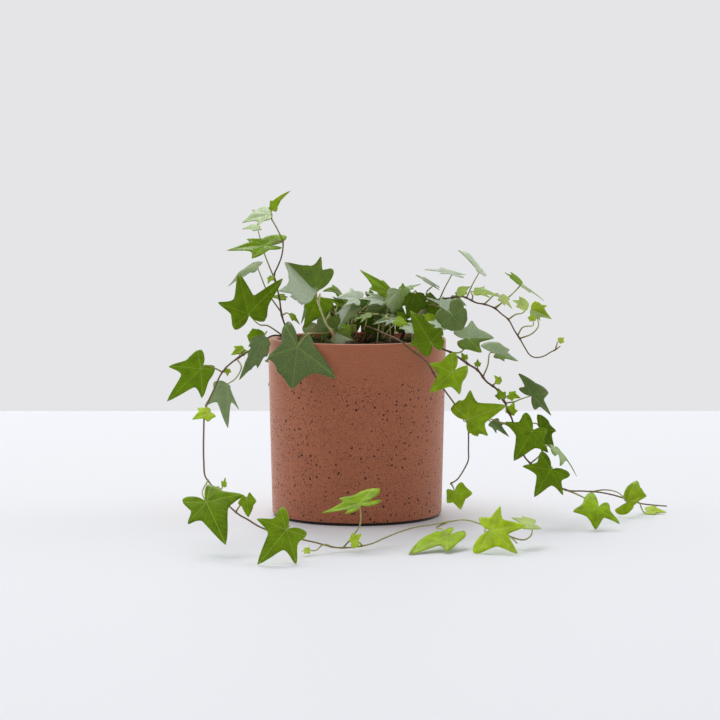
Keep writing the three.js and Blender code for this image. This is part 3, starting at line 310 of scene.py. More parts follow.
cast_clay, tree, shader = new_material("terracotta-coloured cast stone", roughness=0.72, ior=1.5)
place = add(tree, "TexCoord").outputs["Object"]
height = add(tree, "SeparateXYZ", {0: place}).outputs["Z"]
cloud = add(tree, "TexNoise", {"Vector": place, "Scale": 1 / CLOUD_SIZE, "Detail": 4}).outputs["Fac"]
squeezed = add(tree, "Mapping", {"Vector": place, "Scale": LINE_SQUEEZE}).outputs["Vector"]
lines = add(tree, "TexNoise", {"Vector": squeezed, "Scale": 1 / LINE_SIZE, "Detail": 6}).outputs["Fac"]
grain = add(tree, "TexNoise", {"Vector": place, "Scale": 1 / GRAIN_SIZE, "Detail": 3}).outputs["Fac"]
body = add(tree, "ValToRGB", {"Fac": cloud}, stops={0: "#AC6142", 0.5: "#B96B48", 1: "#C47753"})
stripes = add(tree, "ValToRGB", {"Fac": lines}, stops={0: "#77402A", 0.5: "#B96B48", 1: "#DCAC90"})
sand = add(tree, "ValToRGB", {"Fac": grain}, stops={0: "#6E3A24", 0.5: "#B96B48", 1: "#E4B69C"})
tone = body.outputs["Color"]
for share, layer in ((LINE_SHARE, stripes), (GRAIN_SHARE, sand)):
    layered = {FACTOR: share, FIRST: tone, SECOND: layer.outputs["Color"]}
    tone = add(tree, "Mix", layered, data_type="RGBA").outputs[MIXED]
print(cast_clay.name, "has", len(tree.nodes), "nodes so far")

# %% [markdown]
# ## Air pits
# Air bubbles against the mould leave small pits, which crowd in the lower part, because the mix is
# poured from the foot up. There are thousands, far too many to cut, so the material draws them, with a
# bump and a painted shade, a dark colour for the shadow inside each hollow. Voronoi cells in three sizes
# place them, and each cell's own random colour gives the pit its size.
# %% Air pits
PIT_SHADE_TONE = "#350C03"
FIRST_PITS, ALL_PITS = 136 * MM, 106 * MM
PIT_PATCH = 30 * MM
# the size of a cell, the smallest pit and the spread of sizes in cells, and how dark the painted shade in the
# pits is
PITS = [
    (1.2 * MM, 0.16, 0.26, 0.7),
    (3.4 * MM, 0.04, 0.25, 0.95),
    (7 * MM, 0, 0.17, 1),
]

low = add(tree, "MapRange", {"Value": height, "From Min": FIRST_PITS, "From Max": ALL_PITS}).outputs["Result"]
patch = add(tree, "TexNoise", {"Vector": place, "Scale": 1 / PIT_PATCH, "Detail": 2}).outputs["Fac"]
crowd = add(tree, "MapRange", {"Value": patch, "From Min": 0.3, "From Max": 0.6, "To Min": 0.8})
amount = add(tree, "Math", {0: low, 1: crowd.outputs["Result"]}, operation="MULTIPLY").outputs[0]
pits = None
for cell, least, spread, dark in PITS:
    cells = add(tree, "TexVoronoi", {"Vector": place, "Scale": 1 / cell})
    draw = add(tree, "SeparateColor", {0: cells.outputs["Color"]}).outputs[0]
    size = add(tree, "Math", {0: draw, 1: spread, 2: least}, operation="MULTIPLY_ADD").outputs[0]
    radius = add(tree, "Math", {0: size, 1: amount}, operation="MULTIPLY").outputs[0]
    inside = add(tree, "Math", {0: radius, 1: cells.outputs["Distance"]}, operation="SUBTRACT").outputs[0]
    mask = add(tree, "MapRange", {"Value": inside, "From Min": -0.02, "From Max": 0.03, "To Max": dark})
    mask = mask.outputs["Result"]
    pits = mask if pits is None else add(tree, "Math", {0: pits, 1: mask}, operation="MAXIMUM").outputs[0]
# The pits' dark colour is painted shade, for the shadow inside each hollow.
pitted = add(tree, "Mix", {FACTOR: pits, FIRST: tone, SECOND: linear(PIT_SHADE_TONE)}, data_type="RGBA")
print(len(PITS), "sizes of pits")

# %% [markdown]
# ## Dust, foot and relief
# Fine stone dust lies on the wall and gives it a pale sheen at the edges, but none lies in the pits. The
# shadow in the recess under the foot is painted in as a dark colour, a painted shade. The grain stands
# out by a quarter of a millimetre and the pits go in as far, which a bump shows well enough at this size.
# %% Dust, foot and relief
DUST_TONE = "#F2D8CE"
DUST_SHEEN = 0.8
FOOT_SHADE_TONE = "#1E1512"
FOOT_SHADE_TOP, UNSHADED_BOTTOM = 1.8 * MM, 2.2 * MM
STONE_RELIEF = 0.25 * MM

shader.inputs["Sheen Roughness"].default_value = 0.4
shader.inputs["Sheen Tint"].default_value = linear(DUST_TONE)
dusty = add(tree, "MapRange", {"Value": pits, "To Min": DUST_SHEEN, "To Max": 0}).outputs["Result"]
tree.links.new(dusty, shader.inputs["Sheen Weight"])
# The recess under the foot is painted dark: painted shade for the shadow in the gap over the table.
dry = add(tree, "MapRange", {"Value": height, "From Min": FOOT_SHADE_TOP, "From Max": UNSHADED_BOTTOM}).outputs["Result"]
shaded = add(tree, "Mix", {
    FACTOR: dry, FIRST: linear(FOOT_SHADE_TONE), SECOND: pitted.outputs[MIXED]}, data_type="RGBA")
tree.links.new(shaded.outputs[MIXED], shader.inputs["Base Color"])
relief = add(tree, "Math", {0: grain, 1: pits}, operation="SUBTRACT").outputs[0]
bump = add(tree, "Bump", {"Height": relief, "Strength": 0.5, "Distance": STONE_RELIEF})
tree.links.new(bump.outputs["Normal"], shader.inputs["Normal"])

pot = put("pot_body", bm, [cast_clay], "pot")
pot.data.set_sharp_from_angle(angle=math.radians(40))

# %% [markdown]
# ## The soil
# Potting soil is a crumbly mix of peat, bark and fibre. It fills the pot as a low mound, so it is spun
# like the pot. A Displace modifier could roughen it, but here a noise lifts each point of its top, so
# that the same formula is there for whatever lies on it.
# %% Soil mound
SOIL_EDGE = 132.5 * MM
SOIL_CROWN = 138.5 * MM
CLEARANCE = 0.3 * MM
SOIL_RINGS = 36
SOIL_SIDES = 120
CRUMB_COARSE, CRUMB_FINE = 9 * MM, 2.6 * MM
SMOOTH_EDGE = 0.5 * MM


def soil_height(radius):
    share = min(radius / (RIM_RADIUS - WALL), 1)
    return SOIL_CROWN + (SOIL_EDGE - SOIL_CROWN) * share * share


def crumble(point):
    """How far the soil stands over its smooth mound at a point."""
    coarse = noise.noise(point / CRUMB_COARSE)
    fine = noise.noise(point / CRUMB_FINE)
    return (1.1 * coarse + 0.8 * fine) * MM


top_radius = RIM_RADIUS - WALL - CLEARANCE
mound = [top_radius * (1 - i / SOIL_RINGS) for i in range(SOIL_RINGS + 1)]
bm = bmesh.new()
spin_round(bm, [
    (0, FLOOR + CLEARANCE),
    (outer_radius(FLOOR) - WALL - CLEARANCE, FLOOR + CLEARANCE),
    *[(radius, soil_height(radius)) for radius in mound],
], SOIL_SIDES)
for vert in bm.verts:
    if vert.co.z > SOIL_EDGE - MM and vert.co.xy.length < top_radius - SMOOTH_EDGE:
        vert.co.z += crumble(vert.co)
print("the soil stands", round((POT_HEIGHT - SOIL_EDGE) / MM, 1), "mm below the rim at its edge")

# %% [markdown]
# ## Potting soil
# Moist peat is nearly black-brown and quite rough. Lighter bark shows in specks, and a green cast
# marks where moss has started. Grain sizes are those of sieved peat, 1 to 3 mm.
# %% Soil material
PEAT_GRAIN = 1.8 * MM
MOSS_PATCH = 14 * MM
MOSS_TONE = "#3B4A1C"

peat, tree, shader = new_material("moist peat potting soil", roughness=0.9, ior=1.4)
place = add(tree, "TexCoord").outputs["Object"]
crumbs = add(tree, "TexVoronoi", {"Vector": place, "Scale": 1 / PEAT_GRAIN})
draw = add(tree, "SeparateColor", {0: crumbs.outputs["Color"]}).outputs[0]
earth = add(tree, "ValToRGB", {"Fac": draw}, stops={
    0: "#1C120C", 0.6: "#3A2719", 0.85: "#5A3F28", 1: "#8A6A48"}).outputs["Color"]
growth = add(tree, "TexNoise", {"Vector": place, "Scale": 1 / MOSS_PATCH, "Detail": 3}).outputs["Fac"]
mossy = add(tree, "MapRange", {"Value": growth, "From Min": 0.45, "From Max": 0.62, "To Max": 0.75})
ground = add(tree, "Mix", {
    FACTOR: mossy.outputs["Result"], FIRST: earth, SECOND: linear(MOSS_TONE)}, data_type="RGBA")
tree.links.new(ground.outputs[MIXED], shader.inputs["Base Color"])
bump = add(tree, "Bump", {"Height": crumbs.outputs["Distance"], "Strength": 0.8, "Distance": 0.6 * MM})
tree.links.new(bump.outputs["Normal"], shader.inputs["Normal"])

put("soil_mound", bm, [peat], "soil")

# %% [markdown]
# ## The outline of an ivy leaf
# An ivy leaf has five lobes whose main veins all start where the stalk joins. A young leaf has three
# blunt ones. Half of each outline is a chain of Bezier curves between a few knots, because curves keep
# the bays between the lobes round, and the other half is its mirror image.
# %% Leaf outlines
# Each knot: its place, and the handles before and after it, as (along the midrib, aside) in midribs.
MATURE_OUTLINE = [
    ((-0.04, 0.0), None, (-0.14, 0.01)),
    ((-0.31, 0.17), (-0.25, 0.07), (-0.4, 0.3)),
    ((-0.31, 0.45), (-0.4, 0.42), (-0.2, 0.49)),
    ((0.04, 0.42), (-0.08, 0.41), (0.13, 0.43)),
    ((0.42, 0.71), (0.3, 0.66), (0.48, 0.735)),
    ((0.39, 0.26), (0.35, 0.4), (0.42, 0.19)),
    ((1.0, 0.0), (0.8, 0.13), None),
]
YOUNG_OUTLINE = [
    ((-0.04, 0.0), None, (-0.12, 0.02)),
    ((-0.24, 0.24), (-0.22, 0.1), (-0.27, 0.37)),
    ((-0.1, 0.43), (-0.2, 0.43), (0.04, 0.43)),
    ((0.31, 0.58), (0.17, 0.54), (0.4, 0.61)),
    ((0.43, 0.3), (0.4, 0.42), (0.5, 0.24)),
    ((1.0, 0.0), (0.84, 0.12), None),
]
print("half an outline has", len(MATURE_OUTLINE), "knots, or", len(YOUNG_OUTLINE), "on a young leaf")

# %% [markdown]
# ## A flat leaf
# Filling the outline would give long thin faces that fold badly. So the outline is extruded inwards,
# ring by ring, to the stalk's end, and then mirrored. That lays the mesh along the veins, which is
# where a leaf bends. A UV map keeps each point's place on the flat leaf, for the veins.
# %% Leaf blanks
CURVE_STEPS = 7
RING_SHARES = (0.82, 0.62, 0.4, 0.18)
MIDRIB_MERGE = 0.0005


def corners_and_edges(made):
    """The new corners of an extrusion, and the new edges between them."""
    corners = [part for part in made if isinstance(part, bmesh.types.BMVert)]
    fresh = set(corners)
    edges = [part for part in made if isinstance(part, bmesh.types.BMEdge) and fresh.issuperset(part.verts)]
    return corners, edges


def flat_leaf(name, knots):
    """A flat leaf of length 1 as a mesh: its stalk joins at the origin and its midrib lies along X."""
    bm = bmesh.new()
    outline = []
    for (start, _, leave), (end, arrive, _) in zip(knots, knots[1:]):
        arc = [Vector((*place, 0)) for place in (start, leave, arrive, end)]
        outline += interpolate_bezier(*arc, CURVE_STEPS)[: -1]
    outline.append(Vector((*knots[-1][0], 0)))
    margin = [bm.verts.new(place) for place in outline]
    ring = [bm.edges.new(pair) for pair in zip(margin, margin[1:])]
    reach = 1.0
    for share in RING_SHARES:
        corners, ring = corners_and_edges(bmesh.ops.extrude_edge_only(bm, edges=ring)["geom"])
        bmesh.ops.scale(bm, vec=(share / reach, share / reach, 1), verts=corners)
        reach = share
    corners, _ = corners_and_edges(bmesh.ops.extrude_edge_only(bm, edges=ring)["geom"])
    bmesh.ops.pointmerge(bm, verts=corners, merge_co=(0, 0, 0))
    bmesh.ops.mirror(bm, geom=bm.verts[:] + bm.edges[:] + bm.faces[:], axis="Y", merge_dist=MIDRIB_MERGE)
    bmesh.ops.recalc_face_normals(bm, faces=bm.faces[:])
    if sum(face.normal.z for face in bm.faces) < 0:
        bmesh.ops.reverse_faces(bm, faces=bm.faces[:])
    sheet = bm.loops.layers.uv.new("blade")
    for face in bm.faces:
        for loop in face.loops:
            loop[sheet].uv = loop.vert.co.xy
    mesh = bpy.data.meshes.new(name)
    bm.to_mesh(mesh)
    bm.free()
    print(name, "has", len(mesh.vertices), "corners and", len(mesh.polygons), "faces")
    return mesh


MATURE_LEAF = flat_leaf("mature leaf blank", MATURE_OUTLINE)
YOUNG_LEAF = flat_leaf("young leaf blank", YOUNG_OUTLINE)

# %% [markdown]
# ## Bending a leaf
# No real leaf is flat. It arches along its midrib, folds up at both sides of it, sags at the lobes and
# is quilted: the blade puffs up between the veins, which hold it down. Bending more than a hundred leaves
# by hand would take days, so one formula gives the height over the flat leaf. Each leaf also gets its
# own slow wave, drawn from its place on the plant.
# %% Leaf bending
USUAL_BEND = dict(arch=0.15, fold=0.1, pleat=0.035, sag=0.16)
VEIN_SPACING = math.radians(60)
WAVE = 0.018
WAVES_ALONG, WAVES_ASIDE = 5, 7
PHASE_PER_MM = (40, 23)


def leaf_frame(leaf):
    """The directions along and across a leaf, the way its blade faces, and its length."""
    along = leaf["tip"] - leaf["base"]
    length = along.length
    along.normalize()
    face = Vector(leaf["face"])
    face = (face - along * face.dot(along)).normalized()
    return along, face.cross(along), face, length


def leaf_phase(leaf):
    """A number of its own for each leaf, from where it is on the plant."""
    return PHASE_PER_MM[0] * leaf["base"].x / MM + PHASE_PER_MM[1] * leaf["base"].z / MM


def blade_height(along, aside, vein_turn, leaf):
    """How far a leaf stands over its flat shape at a point, in midribs."""
    bend = {**USUAL_BEND, **leaf["bend"]}
    reach = math.hypot(along, aside)
    quilt = 0.5 - 0.5 * math.cos(vein_turn * math.tau / VEIN_SPACING)
    wave = math.sin(WAVES_ALONG * along + WAVES_ASIDE * aside + leaf_phase(leaf))
    return (bend["arch"] * along * (1 - along) + bend["fold"] * abs(aside) - bend["sag"] * aside * aside
            + bend["pleat"] * reach * quilt + WAVE * reach * wave)


print("the main veins are", round(math.degrees(VEIN_SPACING)), "degrees apart")

# %% [markdown]
# ## Where a lobe's tip is
# No two ivy leaves have the same lobes, so the tips of most leaves' lobes were measured, as the eye sees
# them. A tip seen in a picture could be at any distance. Its line of sight is therefore followed to the
# bent leaf, in steps that close in on it, which gives its place on the leaf.
# %% Line of sight
SIGHT_STEPS = 12


def on_leaf(spot, leaf):
    """Where the eye sees a spot, across and high, on a bent leaf: along and aside, in midribs."""
    along, across, face, length = leaf_frame(leaf)
    look = Vector((spot[0] * MM, 0, spot[1] * MM)) - EYE
    ahead = aside = 0
    for _ in range(SIGHT_STEPS):
        raised = leaf["base"] + face * (blade_height(ahead, aside, 0, leaf) * length)
        hit = EYE + look * ((raised - EYE).dot(face) / look.dot(face)) - leaf["base"]
        ahead = (ahead + hit.dot(along) / length) / 2
        aside = (aside + hit.dot(across) / length) / 2
    return ahead, aside


print("each line of sight takes", SIGHT_STEPS, "steps")

# %% [markdown]
# ## Giving a leaf its own lobes
# Drawing an outline for every leaf would be slow, and the veins would need drawing too. Instead, each
# half of the blank is turned and stretched round the stalk's end, like a fan, until its lobes reach
# their measured places, and its veins go with them. The bays between the lobes can be filled out or
# cut deeper on either side, because some leaves are hardly lobed.
# %% Lobes
# Where the tips of the side lobe and of the ear beside the stalk are on each blank.
MATURE_LOBES = ((0.42, 0.71), (-0.31, 0.45))
YOUNG_LOBES = ((0.31, 0.58), (-0.2, 0.4))
MOST_REACH = (1.5, 1.0)
EAR_WIDTH = 0.75
NOTCH = 0.05


def polar(spot):
    return math.hypot(*spot), math.atan2(abs(spot[1]), spot[0])


def between(place, stops):
    """The value at a place on a chain of straight lines through (place, value) stops."""
    for (low, start), (high, end) in zip(stops, stops[1:]):
        if place <= high:
            break
    return start + (end - start) * (place - low) / (high - low)


def fan(side, lobes, leaf):
    """How half a blank fans out: its new turn, its stretch and its bays, at each turn round the stalk."""
    measured = leaf["left"] if side == 0 else leaf["right"]
    spots = [on_leaf(spot, leaf) for spot in measured] or lobes
    fills = leaf["fill"][2 * side: 2 * side + 2]
    turns, shares, bays, before = [(0, 0)], [(0, 1)], [(0, 0)], 0
    for lobe, spot, most, fill in zip(lobes, spots, MOST_REACH, fills):
        (own_reach, own_turn), (reach, turn) = polar(lobe), polar(spot)
        turns.append((own_turn, turn))
        shares.append((own_turn, min(reach, most) / own_reach))
        bays += [((before + own_turn) / 2, fill), (own_turn, 0)]
        before = own_turn
    notch = min(math.pi, turn + EAR_WIDTH * (math.pi - own_turn)) if measured else math.pi
    turns += [(math.pi - NOTCH, notch), (math.pi, math.pi)]
    shares.append((math.pi, shares[-1][1]))
    bays.append((math.pi, 0))
    return turns, shares, bays


print("a side lobe reaches", MOST_REACH[0], "midribs at most, and an ear", MOST_REACH[1])

# %% [markdown]
# ## One finished blade
# The blank is turned and stretched into the leaf's own lobes, bent, and stood in its place. Each corner
# also carries what the leaf's finish needs: its age, a shade of its own, and how much painted silvery
# sheen lies on that half of it, a highlight of the light from above painted into its colour. With that
# on the corners, one material serves every leaf.
# %% Blades
MATURE_LENGTH = 17 * MM
LOWEST_BLADE = 0.5 * MM


def add_blade(blades, leaf):
    """Adds one bent leaf blade, of the record's size, lobes and age, to the bmesh of a vine's blades."""
    along, across, face, length = leaf_frame(leaf)
    blank, lobes = (MATURE_LEAF, MATURE_LOBES) if length >= MATURE_LENGTH else (YOUNG_LEAF, YOUNG_LOBES)
    halves = {1: fan(0, lobes, leaf), -1: fan(1, lobes, leaf)}
    before = len(blades.verts)
    blades.from_mesh(blank)
    blades.verts.ensure_lookup_table()
    age = blades.verts.layers.float["age"]
    tint = blades.verts.layers.float["tint"]
    painted_sheen = blades.verts.layers.float["painted_sheen"]
    for vert in blades.verts[before:]:
        half = 1 if vert.co.y >= 0 else -1
        turns, shares, bays = halves[half]
        reach, vein_turn = polar(vert.co.xy)
        turn = between(vein_turn, turns)
        reach *= between(vein_turn, shares) * (1 + between(vein_turn, bays))
        ahead, aside = reach * math.cos(turn), half * reach * math.sin(turn)
        up = blade_height(ahead, aside, vein_turn, leaf)
        vert.co = leaf["base"] + (along * ahead + across * aside + face * up) * length
        vert.co.z = max(vert.co.z, LOWEST_BLADE)
        vert[age] = leaf["age"]
        vert[tint] = 0.5 + 0.5 * math.sin(leaf_phase(leaf))
        # Painted sheen: how much silvery highlight is painted into this half's colour.
        vert[painted_sheen] = leaf["painted_sheen"][0 if half == 1 else 1]


print("leaves from", round(MATURE_LENGTH / MM), "mm long have the five lobes of a mature leaf")

# %% [markdown]
# ## Smooth curves
# Stems and stalks follow curves through points that were chosen along the photographed ones. A plain
# spline loops or overshoots where points are uneven, so this is a centripetal one, which never does.
# %% Curves
def curve_point(path, place):
    """The point at place, counted along the path's own points, of the smooth curve through them."""
    first = min(int(place), len(path) - 2)
    share = place - first
    start, end = path[first], path[first + 1]
    before = path[first - 1] if first else 2 * start - end
    after = path[first + 2] if first + 2 < len(path) else 2 * end - start
    a, b, c = [max((q - p).length, MM * MM) ** 0.5 for p, q in ((before, start), (start, end), (end, after))]
    leave = b * ((start - before) / a - (end - before) / (a + b) + (end - start) / b)
    arrive = b * ((end - start) / b - (after - start) / (b + c) + (after - end) / c)
    return (start + leave * share + (3 * (end - start) - 2 * leave - arrive) * share**2
            + (2 * (start - end) + leave + arrive) * share**3)


bow = [Vector((0, 0, 0)), Vector((0, 0, 3)), Vector((4, 0, 3))]
print("the middle of a bow's second part:", [round(value, 2) for value in curve_point(bow, 1.5)])

# %% [markdown]
# ## Tubes
# A stem could be a curve object with a round bevel, but that can't carry an age along it for the bark's
# colour. So a tube starts as a circle, and each step extrudes the last ring and carries it on to the
# next place, with its own radius and age. Both ends are filled.
# %% Tubes
def add_tube(bm, points, radii, ages, sides):
    """Extrudes a closed tube along the points, with a radius and an age at each."""
    age = bm.verts.layers.float["age"]
    forward = [(after - before).normalized() for before, after in zip(points, points[1:])]
    forward.append(forward[-1])
    turn = Vector((0, 0, 1)).rotation_difference(forward[0])
    frames = []
    for i, point in enumerate(points):
        if i:
            turn = forward[i - 1].rotation_difference(forward[i]) @ turn
        frames.append(Matrix.LocRotScale(point, turn, Vector.Fill(3, radii[i])))
    corners = bmesh.ops.create_circle(bm, segments=sides, radius=1, matrix=frames[0])["verts"]
    ring = list({edge for vert in corners for edge in vert.link_edges})
    root = ring
    for vert in corners:
        vert[age] = ages[0]
    for i in range(1, len(points)):
        corners, ring = corners_and_edges(bmesh.ops.extrude_edge_only(bm, edges=ring)["geom"])
        bmesh.ops.transform(bm, matrix=frames[i] @ frames[i - 1].inverted(), verts=corners)
        for vert in corners:
            vert[age] = ages[i]
    bmesh.ops.holes_fill(bm, edges=root + ring)


bm = bmesh.new()
bm.verts.layers.float.new("age")
add_tube(bm, bow, (1, 1, 1), (0, 0, 1), 6)
print("a six-sided tube through three points has", len(bm.faces), "faces")
bm.free()

# %% [markdown]
# ## Stems
# A stem thins towards its tip and gets younger on the way. A slight swelling marks each joint where a
# leaf stalk leaves, and a stem that trails lies on the table, never in it.
# %% Stems
STEM_SIDES = 8
STEM_STEP = 2.2 * MM
JOINT_SWELLING = 0.5
JOINT_LENGTH = 1.4 * MM


def add_stem(bm, vine):
    """The stem of a vine, with a swelling at each leaf."""
    path, (thick, thin), (old, fresh) = vine["path"], vine["girth"], vine["bark"]
    places = []
    for i in range(len(path) - 1):
        steps = max(2, round((path[i + 1] - path[i]).length / STEM_STEP))
        places += [i + step / steps for step in range(steps)]
    places.append(len(path) - 1)
    points, radii, ages = [], [], []
    for place in places:
        point = curve_point(path, place)
        share = place / (len(path) - 1)
        joint = min(((point - leaf["start"]).length for leaf in vine["leaves"]), default=1)
        radius = thick + (thin - thick) * share
        radius *= 1 + JOINT_SWELLING * math.exp(-((joint / JOINT_LENGTH) ** 2))
        point.z = max(point.z, radius + CLEARANCE)
        points.append(point)
        radii.append(radius)
        ages.append(old + (fresh - old) * share)
    add_tube(bm, points, radii, ages, STEM_SIDES)


print("a stem swells by", round(100 * JOINT_SWELLING), "% at a joint")

# %% [markdown]
# ## Leaf stalks
# A stalk leaves its stem upwards, bows under the weight of the blade and meets it from behind. Where the
# photograph shows a stalk clearly, its own points are used instead. It turns from the stem's olive to
# the green of its leaf within its first part.
# %% Stalks
STALK_SIDES = 6
STALK_STEPS = 14
STALK_START = 0.68 * MM
STALK_END = 0.46 * MM
STALK_WAY = dict(out=0.35, rise=0.12, behind=0.25, under=0.08)
STALK_AGE = 0.66
STALK_GREEN = (0.16, 0.18)
GREENING = 1.6


def add_stalk(bm, leaf):
    """The stalk of a leaf, from its stem to the blade."""
    start, base = leaf["start"], leaf["base"]
    along, across, face, length = leaf_frame(leaf)
    span = (base - start).length
    way = leaf["stalk"] or [
        start.lerp(base, STALK_WAY["out"]) + Vector((0, 0, STALK_WAY["rise"] * span)),
        base - along * STALK_WAY["behind"] * span - face * STALK_WAY["under"] * span,
    ]
    path = [start, *way, base]
    green = STALK_GREEN[0] + STALK_GREEN[1] * leaf["age"]
    points, radii, ages = [], [], []
    for i in range(STALK_STEPS + 1):
        share = i / STALK_STEPS
        point = curve_point(path, share * (len(path) - 1))
        radius = STALK_START + (STALK_END - STALK_START) * share
        point.z = max(point.z, radius + CLEARANCE)
        points.append(point)
        radii.append(radius)
        ages.append(STALK_AGE + green * min(1, GREENING * share))
    add_tube(bm, points, radii, ages, STALK_SIDES)


print("a stalk thins from", round(2 * STALK_START / MM, 2), "to", round(2 * STALK_END / MM, 2), "mm")

# %% [markdown]
# ## Measuring the front of the plant
# Each vine is written down as it was measured: where it roots, its thickness at both ends, how old its
# bark is from root to tip, its route, and its leaves. A place is given as the camera's eye sees it,
# across and high on the upright plane through the pot's axis, and then how far it stands in front of
# that plane. All sizes are millimetres.
# %% From eye to place
def seen(spot):
    """The real place of a spot as the eye sees it: across, high, and towards the eye."""
    across, high, toward = spot
    nearer = 1 + toward * MM / EYE.y
    return Vector((
        EYE.x + (across * MM - EYE.x) * nearer,
        -toward * MM,
        EYE.z + (high * MM - EYE.z) * nearer,
    ))


nearer_spot = seen((100, 0, 200))
print("seen 100 mm across but 200 mm nearer, it is", round(nearer_spot.x / MM, 1), "mm across")

# %% [markdown]
# ## A leaf's record
# Each leaf says where its stalk leaves the stem, where its blade starts and ends, which way it faces,
# and its age from 0, old and dark, to 1, just unfolded and lime green. Left and right are the tips of
# the side lobe and of the ear on each side, walking from the stalk to the tip. Fill closes the bays
# between the lobes, or cuts them deeper where it is negative: one number, or four for the bay in front
# of the side lobe and the one behind it, left and then right. Painted sheen is a silvery highlight,
# painted into the colour of the left and right half. A leaf that lies level is bent less than usual.
# %% Leaf record
LEVEL = dict(arch=0.03, fold=0.04, pleat=0.02, sag=0.03)


def leaf(stem_place, base, tip, face, age, left=(), right=(), fill=0, bend=(), stalk=(), painted_sheen=(0, 0)):
    """What is known of one leaf, in one record."""
    fill = fill if isinstance(fill, tuple) else (fill,) * 4
    return dict(stem_place=stem_place, base=base, tip=tip, face=face, age=age, left=left, right=right,
                fill=fill, bend=dict(bend), stalk=stalk, painted_sheen=painted_sheen)


FRONT_VINES = []
print("a level leaf arches by", LEVEL["arch"], "midribs, and a usual one by", USUAL_BEND["arch"])

# %% [markdown]
# ## The climbing stem
# At the upper left one stem climbs freely. Its leaves reach out to the left, and the newest ones, at
# its tip, are small and pale, with a painted silvery sheen.
# %% Climbing stem
FRONT_VINES.append(dict(
    name="vine_climbing_left",
    root=(-50, -4),
    girth=(0.75, 0.5),
    bark=(0.2, 0.75),
    route=[
        (-54, 143, 6), (-59, 157, 10), (-61, 171, 12), (-64, 184, 12), (-65, 189, 12),
        (-62, 196, 12), (-59, 204, 13), (-58, 215, 14), (-60, 220, 14), (-63, 226, 15),
        (-67, 233, 16),
    ],
    leaves=[
        leaf(7, (-72, 212, 20), (-102, 208, 26), (0, -0.55, 0.85), 0.48,
             left=[(-82, 202), (-60, 213)], right=[(-86, 217), (-57, 220)],
             fill=(0.2, -0.35, 0.2, -0.35)),
        leaf(10, (-68, 236, 16), (-90, 230, 22), (0.1, -0.4, 0.9), 0.62,
             left=[(-78, 228), (-70, 232)], right=[(-82, 240), (-74, 242)], fill=0.4,
             painted_sheen=(0.5, 0.6)),
        leaf(10, (-66, 240, 8), (-52, 255, 8), (-0.3, -0.9, 0.3), 0.78,
             left=[(-68, 247), (-69, 240)], right=[(-60, 247), (-63, 239)], fill=0.2),
        leaf(3, (-78, 226, 6), (-90, 225, 8), (0, -0.35, 0.95), 0.68, painted_sheen=(0.5, 0.5),
             stalk=[(-73, 207, 8)]),
        leaf(1.2, (-78, 195, 0), (-101, 180, -4), (-0.45, -0.2, 0.9), 0.1,
             left=[(-90, 187), (-81, 191)], right=[(-90, 194), (-75, 199)], fill=0.1,
             painted_sheen=(0.12, 0.2), stalk=[(-70, 175, 4), (-75, 187, 2)]),
        leaf(2, (-57, 172, 4), (-69, 172, -2), (0.1, -0.8, 0.6), 0.6, left=[(-61, 169), (-56, 169)],
             right=[(-61, 174), (-57, 174)]),
        leaf(4, (-67, 187, 14), (-70, 182, 16), (-0.5, -0.7, 0.3), 0.85),
        leaf(1, (-53, 158, 16), (-45, 150, 18), (0.3, -0.6, 0.7), 0.8,
             left=[(-48, 157), (-51, 159)], right=[(-51, 153), (-53, 157)], fill=0.1),
    ],
))
print(FRONT_VINES[-1]["name"], "has", len(FRONT_VINES[-1]["leaves"]), "leaves")

